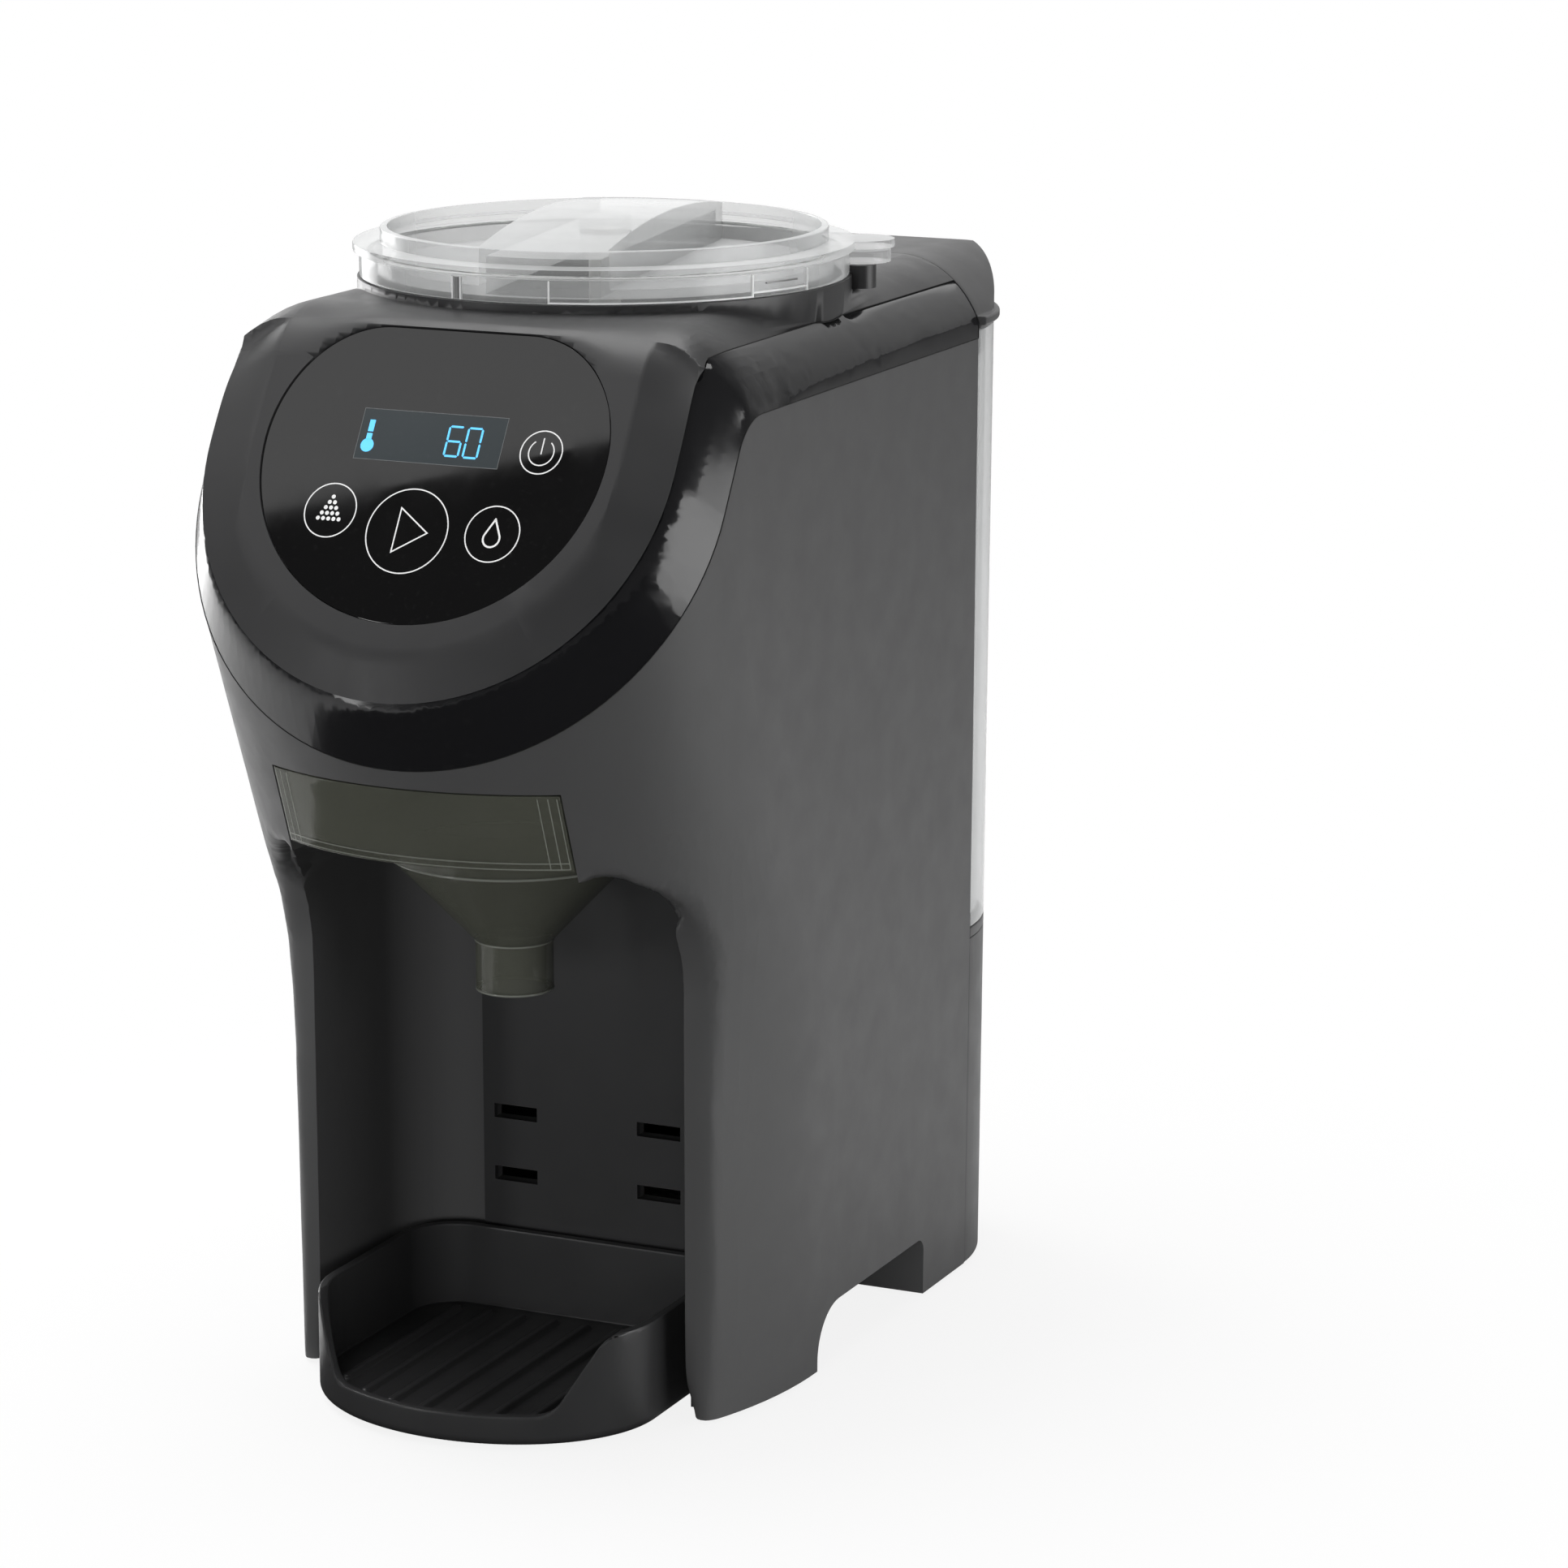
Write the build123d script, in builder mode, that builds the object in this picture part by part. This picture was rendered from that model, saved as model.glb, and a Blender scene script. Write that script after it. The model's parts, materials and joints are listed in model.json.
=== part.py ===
"""Baby formula maker: housing, water tank, powder container, mixing funnel and bottle tray.

Millimetres. +Z is up, the front faces -Y, and the origin is the middle of the footprint on the floor.
"""

import os
from math import acos, cos, pi, radians, sin, sqrt, tan

from build123d import *

os.makedirs("parts", exist_ok=True)

# ---- Driving sizes of the housing ----
foot_half_w = 71.3  # half width over the side panels at the floor
top_half_w = 74.1  # the same at the deck
deck_z = 293.0
seam_y = 76.0  # back edge of the side panels, where tank and rear cover begin
back_y = 136.5  # rearmost point of the tank wall
bow_y = -27.0  # where the side panels start to curve in towards the front
bow_front_y = -122.0  # where that curve would meet in the middle
leg_front_y = -76.2
wall = 2.5  # housing wall
pad_h = 1.2  # rubber pads under the feet
floor_t = 2.8  # floor of the hollow feet

# ---- Bottle bay and side arches ----
bay_half_w = 53.0
bay_back_y = -22.0
bay_top_z = 154.0
bay_corner_r = 20.0
bay_edge_r = 14.0
leg_bow_r = 36.0  # curve from the legs' front edge up into the neck
arch_front_y = -27.2
arch_back_y = 45.7
arch_top_z = 18.0
arch_front_r = 14.0
arch_back_r = 4.0

# ---- Tilted head: a drum whose face looks up and forward ----
face_tilt = 31.0
drum_y = -92.7
drum_z = 248.1
drum_over = 0.9  # the drum's rim, where the trim band ends, stands this far outside the panels
drum_r = top_half_w + drum_over
band_w = 8.5  # from the drum's rim in to the face edge
face_r = drum_r - band_w
band_rise = 15.3  # from the drum rim to the face edge, square to the face
face_shift = 4.0  # the face's centre lies this much higher up the slope
face_rise = 3.1  # dome of the face up to the lens
face_wall = 4.6
neck_z = 150.0
leg_turn_z = 90.0  # from here up the legs widen into the neck
leg_stages = 4  # steps of that widening
neck_c_y = -55.3
neck_front_y = -119.5
crown_half_w = 49.4  # flat middle of the deck
crown_over = 1.9
crown_h = 31.0  # height of the rounded shoulder
crown_side_w = top_half_w + crown_over
crown_back_d = 26.0  # depth of the rounded back of the tank lid
crown_back_over = 1.6  # that curve would end this far behind the tank wall
face_seam_z = 286.4  # level of the seam beside the deck
band_seam_z = 270.6  # level of the seam under the trim band
face_seam_r = 12.0
band_seam_r = 16.0
seam_drop = 150.0  # how far down the slope a seam is followed

# ---- Fits ----
part_gap = 0.2  # between fixed plastic pieces that drop into each other
slide_gap = 0.4  # between pieces that move past each other
run_gap = 0.05  # radial clearance of a shaft in its bush

# ---- Control lens ----
lens_half_w = 48.8
lens_low = -42.4  # lowest point, down the slope from the drum's axis
lens_high = 37.6
lens_wide = 4.7  # where the lens is widest
lens_top_half = 20.0  # half length of its level top edge
lens_margin = 4.0  # flat land around the lens
lens_t = 1.2
lens_sink = 0.4  # the lens lies this far below the face
lens_ledge = 3.0  # width of the ledge it lies on

# ---- Powder container, its well and the drive under it ----
well_y = -8.5  # axis of the container, the stirrer and the output gear
container_room = 10.7  # from the container out to the side panel
container_r = top_half_w - container_room
container_wall = 2.0
container_floor_z = 217.0
container_floor_t = 3.0
rim_over = 2.2  # thicker rim that rests on the collar
rim_r = container_r + rim_over
rim_z = 295.2
rim_top_z = 301.5
collar_w = 2.0
collar_low_z = 282.4
collar_top_z = 295.0
well_floor_z = 214.0  # underside of the well's floor
well_floor_t = 2.5
well_lug_y = (-44.0, 26.0)
well_lug_w = 8.0
well_lug_t = 4.0
well_lug_len = 16.0
well_lug_end = 3.5  # beyond the screw
well_screw_in = 4.8  # from the wall in to the screw
shell_lug_len = 8.0
shell_lug_in = 2.5
outlet_r = 8.0
chute_r = 9.5
chute_wall = 2.0
chute_end_z = 204.5
chute_spigot_r = 12.5  # sits in the well's floor
chute_flange_r = 18.0
chute_flange_t = 1.8
lobe_over = 5.3
lobe_turn = 25.4
lobe_r = 8.0
lobe_t = 3.5
post_r = 4.0

# ---- Container lid ----
flange_over = 3.9
flange_r = container_r + flange_over
flange_t = 2.3
cap_wall = 2.0
cap_in = 3.4
cap_r = container_r - cap_in
cap_edge_z = 308.0
cap_top_z = 312.5
grip_w = 35.0
grip_turn = 10.0
finger_well_z = 296.0
lid_seal_t = 0.5

# ---- Dosing wheel, stirrer and gear train ----
wheel_play = 2.4  # around the wheel, inside the container
wheel_r = container_r - container_wall - wheel_play
wheel_t = 8.0
wheel_pockets = 8
pocket_r = 7.0
pocket_in = 9.0
outlet_reach = wheel_r - pocket_in  # from the container's axis to the powder outlet
hub_r = 6.0
shaft_r = 4.0
pin_r = 2.5
bush_r = 7.0
dog_r = 3.0
dog_h = 5.0
stirrer_r = 4.3
stirrer_top_z = 307.0
paddle_in = 3.0
paddle_reach = wheel_r - paddle_in
paddle_zs = (238.0, 252.0, 266.0)
paddle_turns = (20.0, 80.0, 140.0)
gear_module = 1.25
pressure_angle = 25.0
gear_teeth = 48
pinion_teeth = 14
backlash = 0.1
gear_z = 203.5
gear_t = 6.0
plate_z = 196.5
plate_t = 3.0
plate_half_w = 45.0
plate_front_y = -24.0
plate_rear_y = 50.0
pillar_in = 5.0
motor_r = 14.0
motor_h = 46.0
motor_shaft_r = 2.0

# ---- Mixing funnel ----
spout_y = -65.2
funnel_half_w = 41.3
funnel_low_z = 157.0
panel_top_z = 178.4
funnel_wall = 2.0
funnel_rear_y = -31.8
funnel_side_top_z = 174.0
cover_front_y = -110.0
ring_r = 33.0
ring_low_z = 148.0
cone_low_z = 124.3
spout_r = 10.4
spout_low_z = 110.6
dome_base_r = 26.0
dome_top_z = 202.0
dome_wall = 1.8
dome_top_w = 40.0
dome_top_d = 32.0
dome_top_r = 12.0
dome_top_y = -60.0
frame_t = 2.5
frame_front_y = -98.0
nozzle_z = 188.0
nozzle_r = 3.0

# ---- Tank, dock and valve ----
dock_z = 98.4
dock_t = 3.0
tank_gap = 0.3
tank_wall = 2.2
tank_top_z = 273.0
lid_bead = 1.5
lid_bead_z = 274.2
lid_bead_h = 2.6
lid_skirt_h = 8.0
valve_y = 104.0
valve_r = 8.8
valve_wall = 1.8
valve_flange_r = 11.0
valve_plate_t = 1.5
valve_low_z = 93.5
valve_hole_r = 3.2
poppet_r = 5.4
poppet_t = 2.0
stem_r = 1.5
stem_top_z = 110.0
spring_r = 3.2
spring_wire_r = 0.35
spring_turns = 4
socket_r = 10.6
socket_wall = 2.0
socket_low_z = 84.0
dock_pin_r = 1.2

# ---- Bottle tray ----
tray_half_w = 48.9
tray_c_y = -80.0
tray_front_y = -118.5
tray_rear_y = -25.8
tray_corner_r = 16.0
tray_low_z = 1.0
tray_top_z = 29.5
tray_floor_t = 5.5
tray_wall = 2.8
tray_lip_z = 9.5
notch_low_w = 64.0
notch_high_w = 86.0
rib_pitch = 10.0
rib_count = 8
rib_w = 2.6
rib_h = 1.3
tongue_x = 22.0
tongue_w = 12.2
tongue_t = 3.0
tongue_reach = 9.0
slot_z = 26.0
slot_pitch = 18.0
slot_rows = 3
slot_play = 0.5
liner_t = 1.8
liner_half_w = 32.0
liner_low_z = 20.0
liner_top_z = 139.0

# ---- Base, rear cover and feet ----
base_z = arch_top_z + 0.6
base_t = 2.4
boss_ys = (-8.0, 38.0)
boss_r = 4.0
boss_bite = 0.8  # the bosses reach this far into the wall
boss_x = foot_half_w - wall - boss_r + boss_bite
boss_top_z = 38.0
window_half_w = 55.0
window_low_z = 26.0
window_top_z = 95.0
rear_post_x = 62.0
rear_post_zs = (40.0, 82.0)
front_foot_in = 11.8
front_foot_x = foot_half_w - front_foot_in
front_foot_y = -48.0
front_foot_len = 30.0
rear_foot_x = 38.0
rear_foot_y = 106.0
rear_foot_len = 24.0
foot_w = 8.0
gland_x = -40.0
gland_z = 30.0
gland_r = 6.0
gland_len = 21.0
gland_end_y = 131.0
cord_r = 2.6

# ---- Screws ----
screw_r = 1.45
screw_play = 0.05
head_r = 2.8
head_h = 1.6

# ---- Pump, heater and hoses ----
hose_r = 3.4
barb_r = 2.15
barb_bore_r = 1.2
barb_len = 6.0
pump_x = -35.0
pump_y = 20.0
pump_r = 15.0
pump_top_z = 66.0
pump_out_z = 50.0
heater_x = 35.0
heater_y = 10.0
heater_r = 18.0
heater_top_z = 100.0
heater_in_z = 32.0
inlet_z = 89.0
hose_bend = 8.0
inlet_run = 28.0  # behind the pump, where the inlet hose turns
outlet_run = 18.0  # in front of the heater, where the outlet hose turns
hose_end = 0.3  # a hose stops this far from what it is pushed up to

# ---- Boards ----
board_rise = 8.0
board_t = 1.6
board_grow = 2.5
display_shift = 11.0
display_w = 52.0
display_h = 22.0
board_posts = ((49.4, 5.0), (35.0, -29.0))
board_post_r = 2.6
chip_places = ((-20.0, -20.0), (18.0, -18.0))
chip_w = 12.0
chip_d = 9.0
plug_shift = 26.0
plug_w = 30.0
plug_d = 6.0
main_board_half_w = 38.0
main_board_low_z = 112.0
main_board_top_z = 186.0
main_board_y = 68.4
supply_low = (-24.0, 8.0)  # place of the supply block on the board, from its middle and lower edge
supply_size = (28.0, 16.0, 26.0)
relay_low = (10.0, 12.0)
relay_size = (16.0, 9.0, 14.0)
board_post_in = 6.0

beyond = 200.0  # reach of a cut that goes right through
slope_y = sin(radians(face_tilt))
slope_z = cos(radians(face_tilt))


def side_half_w(z):
    """Half width over the side panels at a height."""
    return foot_half_w + (top_half_w - foot_half_w) * z / deck_z


def slope_point(rise, shift):
    """Depth and height of a point rise above the drum's rim and shift up the slope."""
    return (drum_y - rise * slope_z + shift * slope_y, drum_z + rise * slope_y + shift * slope_z)


def slope_plane(rise, shift=0.0):
    """Plane parallel to the face, its y axis running up the slope."""
    return Plane(origin=(0, *slope_point(rise, shift)), x_dir=(1, 0, 0), z_dir=(0, -slope_z, slope_y))


def rounded_front(half_w, centre_y, front_y, rear_y):
    """Outline with an elliptical front and straight sides."""
    with BuildSketch() as outline:
        with BuildLine():
            EllipticalCenterArc((0, centre_y), half_w, centre_y - front_y, 180, arc_size=180)
            Line((half_w, centre_y), (half_w, rear_y))
            Line((half_w, rear_y), (-half_w, rear_y))
            Line((-half_w, rear_y), (-half_w, centre_y))
        make_face()
    return outline.sketch


def drum_outline(radius, reach=2 * beyond):
    """Half circle below and straight sides above."""
    with BuildSketch() as outline:
        with BuildLine():
            CenterArc((0, 0), radius, 180, 180)
            Line((radius, 0), (radius, reach))
            Line((radius, reach), (-radius, reach))
            Line((-radius, reach), (-radius, 0))
        make_face()
    return outline.sketch


def crown_outline(inset):
    """Front view of the whole machine, with elliptical shoulders."""
    half_w = crown_side_w - inset
    shoulder_w = half_w - crown_half_w
    shoulder_h = crown_h - inset
    shoulder_z = deck_z - crown_h
    with BuildSketch() as outline:
        with BuildLine():
            Polyline((-half_w, shoulder_z), (-half_w, -1), (half_w, -1), (half_w, shoulder_z))
            EllipticalCenterArc((crown_half_w, shoulder_z), shoulder_w, shoulder_h, 0, arc_size=90)
            Line((crown_half_w, deck_z - inset), (-crown_half_w, deck_z - inset))
            EllipticalCenterArc((-crown_half_w, shoulder_z), shoulder_w, shoulder_h, 90, arc_size=90)
        make_face()
    return outline.sketch


def housing_form(inset, face_inset):
    """The front body as one block, every outer face moved in by inset."""
    top_rise = band_rise + face_rise - face_inset
    edge_rise = band_rise - face_inset
    rear_y = seam_y + inset
    with BuildPart() as form:
        for stage in range(leg_stages + 1):
            for step in (stage - 1, stage):
                ease = max(step, 0) / leg_stages
                z = leg_turn_z + (neck_z - leg_turn_z) * ease if step >= 0 else 0
                centre_y = bow_y + (neck_c_y - bow_y) * ease**2
                front_y = bow_front_y + (neck_front_y - bow_front_y) * ease**2
                with BuildSketch(Plane.XY.offset(z)):
                    add(rounded_front(side_half_w(z) - inset, centre_y, front_y + inset, rear_y))
            loft(ruled=True)
        with BuildSketch(Plane.XY.offset(neck_z)):
            add(rounded_front(side_half_w(neck_z) - inset, neck_c_y, neck_front_y + inset, rear_y))
        with BuildSketch(slope_plane(0)):
            add(drum_outline(drum_r - inset))
        loft(ruled=True)
        with BuildSketch(slope_plane(0)):
            add(drum_outline(drum_r - inset))
        with BuildSketch(slope_plane(edge_rise, face_shift)):
            add(drum_outline(face_r - inset))
        loft(ruled=True)
        with BuildSketch(slope_plane(edge_rise, face_shift)):
            add(drum_outline(face_r - inset))
        with BuildSketch(slope_plane(top_rise, face_shift)):
            add(drum_outline(lens_half_w + lens_margin))
        loft(ruled=True)
        with BuildSketch(Plane.XZ):
            add(crown_outline(inset))
        extrude(amount=2 * beyond, both=True, mode=Mode.INTERSECT)
        with BuildSketch(Plane.XY):
            with Locations((0, seam_y - inset)):
                Rectangle(2 * beyond, 2 * beyond, align=(Align.CENTER, Align.MIN))
        extrude(amount=2 * beyond, mode=Mode.SUBTRACT)
    return form.part


def rear_form(inset, front_y):
    """The rear body behind the seam as one block, from front_y back."""
    with BuildPart() as form:
        for z, half_w in ((0, foot_half_w), (deck_z, top_half_w)):
            with BuildSketch(Plane.XY.offset(z)):
                with BuildLine():
                    EllipticalCenterArc(
                        (0, seam_y), half_w - inset, back_y - seam_y - inset, 0, arc_size=180
                    )
                    Line((inset - half_w, seam_y), (half_w - inset, seam_y))
                make_face()
        loft(ruled=True)
        with BuildSketch(Plane.XZ):
            add(crown_outline(inset))
        extrude(amount=beyond, both=True, mode=Mode.INTERSECT)
        with BuildSketch(Plane.YZ):
            with BuildLine():
                turn_y = back_y - crown_back_d
                turn_z = deck_z - crown_h
                back_d = crown_back_d + crown_back_over - inset
                Polyline((turn_y + back_d, turn_z), (turn_y + back_d, -1), (front_y, -1))
                Line((front_y, -1), (front_y, deck_z - inset))
                Line((front_y, deck_z - inset), (turn_y, deck_z - inset))
                EllipticalCenterArc((turn_y, turn_z), back_d, crown_h - inset, 0, arc_size=90)
            make_face()
        extrude(amount=beyond, both=True, mode=Mode.INTERSECT)
    return form.part


def bay_space(grow):
    """Bottle bay and the space in front of the legs, every face moved out by grow."""
    top_z = bay_top_z + grow
    with BuildPart() as space:
        with BuildSketch(Plane.XY.offset(-1)):
            with Locations((0, bay_back_y + grow)):
                Rectangle(2 * (bay_half_w + grow), beyond, align=(Align.CENTER, Align.MAX))
        extrude(amount=top_z + 1)
        rear_edges = space.edges().filter_by(Axis.Z).group_by(Axis.Y)[-1]
        fillet(rear_edges, bay_corner_r + grow)
        top_edges = space.edges().group_by(Axis.Z)[-1].filter_by(
            lambda edge: edge.center().Y > -0.9 * beyond
        )
        fillet(top_edges, bay_edge_r + grow)
        with BuildSketch(Plane.YZ.offset(-beyond)):
            with BuildLine():
                bow_r = leg_bow_r + grow
                front_y = leg_front_y + grow
                Polyline((front_y, top_z - bow_r), (front_y, -1), (-beyond, -1), (-beyond, top_z))
                Line((-beyond, top_z), (front_y - bow_r, top_z))
                CenterArc((front_y - bow_r, top_z - bow_r), bow_r, 0, 90)
            make_face()
        extrude(amount=2 * beyond)
    return space.part


def above_seam(rise, seam_z, seam_r):
    """Block in front of a plane parallel to the face and above a level seam."""
    foot = slope_point(rise, -seam_drop)
    corner_shift = (seam_z - slope_point(rise, 0)[1]) / slope_z
    corner = slope_point(rise, corner_shift)
    with BuildPart() as block:
        with BuildSketch(Plane.YZ.offset(-beyond)):
            with BuildLine():
                FilletPolyline(foot, corner, (seam_y, seam_z), radius=seam_r)
                Polyline((seam_y, seam_z), (seam_y, 2 * beyond), (-beyond, 2 * beyond), (-beyond, foot[1]),
                         foot)
            make_face()
        extrude(amount=2 * beyond)
    return block.part


def lens_outline(inset):
    """Wide shield shape with a round bottom."""
    half_w = lens_half_w - inset
    corner_w = half_w - lens_top_half
    corner_h = lens_high - lens_wide - inset
    with BuildSketch() as outline:
        with BuildLine():
            EllipticalCenterArc((0, lens_wide), half_w, lens_wide - lens_low - inset, 180, arc_size=180)
            EllipticalCenterArc((lens_top_half, lens_wide), corner_w, corner_h, 0, arc_size=90)
            Line((lens_top_half, lens_high - inset), (-lens_top_half, lens_high - inset))
            EllipticalCenterArc((-lens_top_half, lens_wide), corner_w, corner_h, 90, arc_size=90)
        make_face()
    return outline.sketch


def rod(radius, low_z, high_z, x=0.0, y=0.0, mode=Mode.ADD):
    """Upright cylinder."""
    with Locations((x, y, low_z)):
        Cylinder(radius, high_z - low_z, align=(Align.CENTER, Align.CENTER, Align.MIN), mode=mode)


def lying_rod(radius, start, end_y, mode=Mode.ADD):
    """Cylinder along Y from a start point to end_y."""
    x, y, z = start
    with Locations((x, (y + end_y) / 2, z)):
        Cylinder(radius, abs(end_y - y), rotation=(90, 0, 0), mode=mode)


def bar(low, high, mode=Mode.ADD):
    """Box between two corners."""
    with Locations(low):
        Box(*(b - a for a, b in zip(low, high)), align=(Align.MIN, Align.MIN, Align.MIN), mode=mode)


def slab(low_z, high_z, mode=Mode.INTERSECT):
    """Keep or cut a level slice."""
    bar((-beyond, -beyond, low_z), (beyond, beyond, high_z), mode=mode)


def hose_line(points):
    """Straight runs joined by arcs."""
    with BuildLine() as route:
        FilletPolyline(*points, radius=hose_bend)
    return route.line


def hose_ring(route):
    """Section of a hose at the start of its route."""
    with BuildSketch(Plane(origin=route @ 0, z_dir=route % 0)) as ring:
        Circle(hose_r)
        Circle(barb_r + screw_play, mode=Mode.SUBTRACT)
    return ring.sketch


def gear_outline(teeth, first_tooth):
    """Involute spur gear, its first tooth centred at an angle in degrees."""
    pitch_r = gear_module * teeth / 2
    base_r = pitch_r * cos(radians(pressure_angle))
    root_r = pitch_r - 1.25 * gear_module
    tip_r = pitch_r + gear_module
    start_r = max(base_r, root_r)
    pitch_roll = tan(radians(pressure_angle)) - radians(pressure_angle)
    half_tooth = pi / (2 * teeth) - backlash / (2 * pitch_r) + pitch_roll
    flank = []
    for step in range(5):
        radius = start_r + (tip_r - start_r) * step / 4
        roll = acos(base_r / radius)
        flank.append((radius, half_tooth - tan(roll) + roll))
    flank.insert(0, (root_r - 0.01, flank[0][1]))
    points = []
    for tooth in range(teeth):
        middle = radians(first_tooth) + tooth * 2 * pi / teeth
        for radius, angle in flank:
            points.append((radius * cos(middle - angle), radius * sin(middle - angle)))
        for radius, angle in reversed(flank):
            points.append((radius * cos(middle + angle), radius * sin(middle + angle)))
    with BuildSketch() as outline:
        with BuildLine():
            Polyline(*points, close=True)
        make_face()
    return outline.sketch


def arch_outline():
    """Side view of the arch between the front and rear feet."""
    front_turn_y = arch_front_y + arch_front_r
    back_turn_y = arch_back_y - arch_back_r
    with BuildSketch() as outline:
        with BuildLine():
            Polyline(
                (front_turn_y, arch_top_z), (back_turn_y, arch_top_z),
            )
            CenterArc((back_turn_y, arch_top_z - arch_back_r), arch_back_r, 0, 90)
            Polyline(
                (arch_back_y, arch_top_z - arch_back_r), (arch_back_y, -1), (arch_front_y, -1),
                (arch_front_y, arch_top_z - arch_front_r),
            )
            CenterArc((front_turn_y, arch_top_z - arch_front_r), arch_front_r, 90, 90)
        make_face()
    return outline.sketch


# ---- Blocks that several pieces are cut from ----
lobe_reach = container_r + lobe_over
lobe_x = lobe_reach * cos(radians(lobe_turn))
lobe_y = well_y + lobe_reach * sin(radians(lobe_turn))
well_screw_x = side_half_w(well_floor_z) - wall - well_screw_in
lens_rise = band_rise + face_rise - lens_sink
lens_low_rise = lens_rise - lens_t
face_back_rise = band_rise + face_rise - face_wall
foot_top_z = pad_h + floor_t
well_r = container_r + 2 * slide_gap
well_outer_r = well_r + collar_w
ceiling_z = bay_top_z + wall
slot_half_w = funnel_half_w + slide_gap
slot_rear_y = funnel_rear_y + slide_gap
slot_top_z = panel_top_z + slide_gap
sides = (-1, 1)

body_outer = housing_form(0, 0)
body_inner = housing_form(wall, face_wall)
bay_open = bay_space(0)
face_block = above_seam(band_rise, face_seam_z, face_seam_r)
band_block = above_seam(0, band_seam_z, band_seam_r)

with BuildPart() as cavity:
    add(body_inner)
    add(bay_space(wall), mode=Mode.SUBTRACT)
    bar((-beyond, -beyond, -1), (beyond, arch_front_y, foot_top_z), mode=Mode.SUBTRACT)
    bar((-beyond, arch_front_y - wall, -1), (beyond, arch_front_y, base_z - part_gap), mode=Mode.SUBTRACT)
    bar((-beyond, arch_back_y, -1), (beyond, beyond, foot_top_z), mode=Mode.SUBTRACT)
    bar((-beyond, arch_back_y, -1), (beyond, arch_back_y + wall, base_z - part_gap), mode=Mode.SUBTRACT)

with BuildPart() as skin:
    add(body_outer)
    add(bay_open, mode=Mode.SUBTRACT)
    add(cavity.part, mode=Mode.SUBTRACT)
    slab(-1, pad_h, mode=Mode.SUBTRACT)

# ---- Outer shell: side panels, legs, neck and rear wall in one moulding ----
with BuildPart() as outer_shell:
    add(skin.part)
    add(band_block, mode=Mode.SUBTRACT)
    with BuildSketch(Plane.YZ.offset(-beyond)):
        add(arch_outline())
    extrude(amount=2 * beyond, mode=Mode.SUBTRACT)
    bar((-slot_half_w, -beyond, ring_low_z), (slot_half_w, slot_rear_y, slot_top_z), mode=Mode.SUBTRACT)
    bar((-window_half_w, seam_y - 2 * wall, window_low_z), (window_half_w, seam_y + 1, window_top_z),
        mode=Mode.SUBTRACT)
    for row in range(slot_rows):
        z = slot_z + row * slot_pitch
        for side in sides:
            with Locations((side * tongue_x, bay_back_y + wall / 2, z)):
                Box(tongue_w + 2 * slot_play, 2 * wall, tongue_t + 2 * slot_play, mode=Mode.SUBTRACT)
    for side in sides:
        for boss_y in boss_ys:
            rod(boss_r, base_z + base_t, boss_top_z, side * boss_x, boss_y)
            rod(screw_r + screw_play, base_z, boss_top_z, side * boss_x, boss_y, Mode.SUBTRACT)
        for lug_y in well_lug_y:
            with Locations((side * (well_screw_x - shell_lug_in + shell_lug_len / 2), lug_y,
                            well_floor_z - well_lug_t)):
                Box(shell_lug_len, well_lug_w, 2 * well_lug_t)
            rod(screw_r + screw_play, well_floor_z - 3 * well_lug_t, well_floor_z,
                side * well_screw_x, lug_y, Mode.SUBTRACT)
        for post_z in rear_post_zs:
            start = (side * rear_post_x, seam_y - 2 * wall, post_z)
            lying_rod(screw_r + screw_play, start, seam_y + wall, Mode.SUBTRACT)
outer_shell.part.label = "outer_shell"
export_step(outer_shell.part, "parts/outer_shell.step")

# ---- Trim band between the shell and the face ----
with BuildPart() as trim_band:
    add(skin.part)
    add(band_block, mode=Mode.INTERSECT)
    add(face_block, mode=Mode.SUBTRACT)
    rod(well_outer_r + part_gap, collar_low_z, deck_z + wall, 0, well_y, Mode.SUBTRACT)
    with BuildSketch(slope_plane(0)):
        add(lens_outline(lens_ledge))
    extrude(amount=beyond / 5, mode=Mode.SUBTRACT)
    for side in sides:
        for across, up in board_posts:
            with BuildSketch(slope_plane(0)):
                with Locations((side * across, up)):
                    Circle(screw_r + screw_play)
            extrude(amount=beyond / 5, mode=Mode.SUBTRACT)
trim_band.part.label = "trim_band"
export_step(trim_band.part, "parts/trim_band.step")

# ---- Top cover: deck and face in one moulding, with the collar round the container ----
with BuildPart() as collar:
    rod(well_outer_r, collar_low_z, collar_top_z, 0, well_y)
    rod(post_r, deck_z - collar_w, rim_z + 2, lobe_x, lobe_y)
    rod(well_r, collar_low_z, collar_top_z + wall, 0, well_y, Mode.SUBTRACT)

with BuildPart() as top_cover:
    add(skin.part)
    add(face_block, mode=Mode.INTERSECT)
    rod(well_r, collar_low_z, collar_top_z, 0, well_y, Mode.SUBTRACT)
    add(collar.part)
    with BuildSketch(slope_plane(lens_low_rise - part_gap)):
        add(lens_outline(-part_gap))
    extrude(amount=beyond / 5, mode=Mode.SUBTRACT)
    with BuildSketch(slope_plane(0)):
        add(lens_outline(lens_ledge))
    extrude(amount=beyond / 5, mode=Mode.SUBTRACT)
top_cover.part.label = "top_cover"
export_step(top_cover.part, "parts/top_cover.step")

# ---- Control lens, with the display and the touch board behind it ----
with BuildPart() as control_lens:
    with BuildSketch(slope_plane(lens_low_rise)):
        add(lens_outline(0))
    extrude(amount=lens_t)
control_lens.part.label = "control_lens"
export_step(control_lens.part, "parts/control_lens.step")

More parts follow.
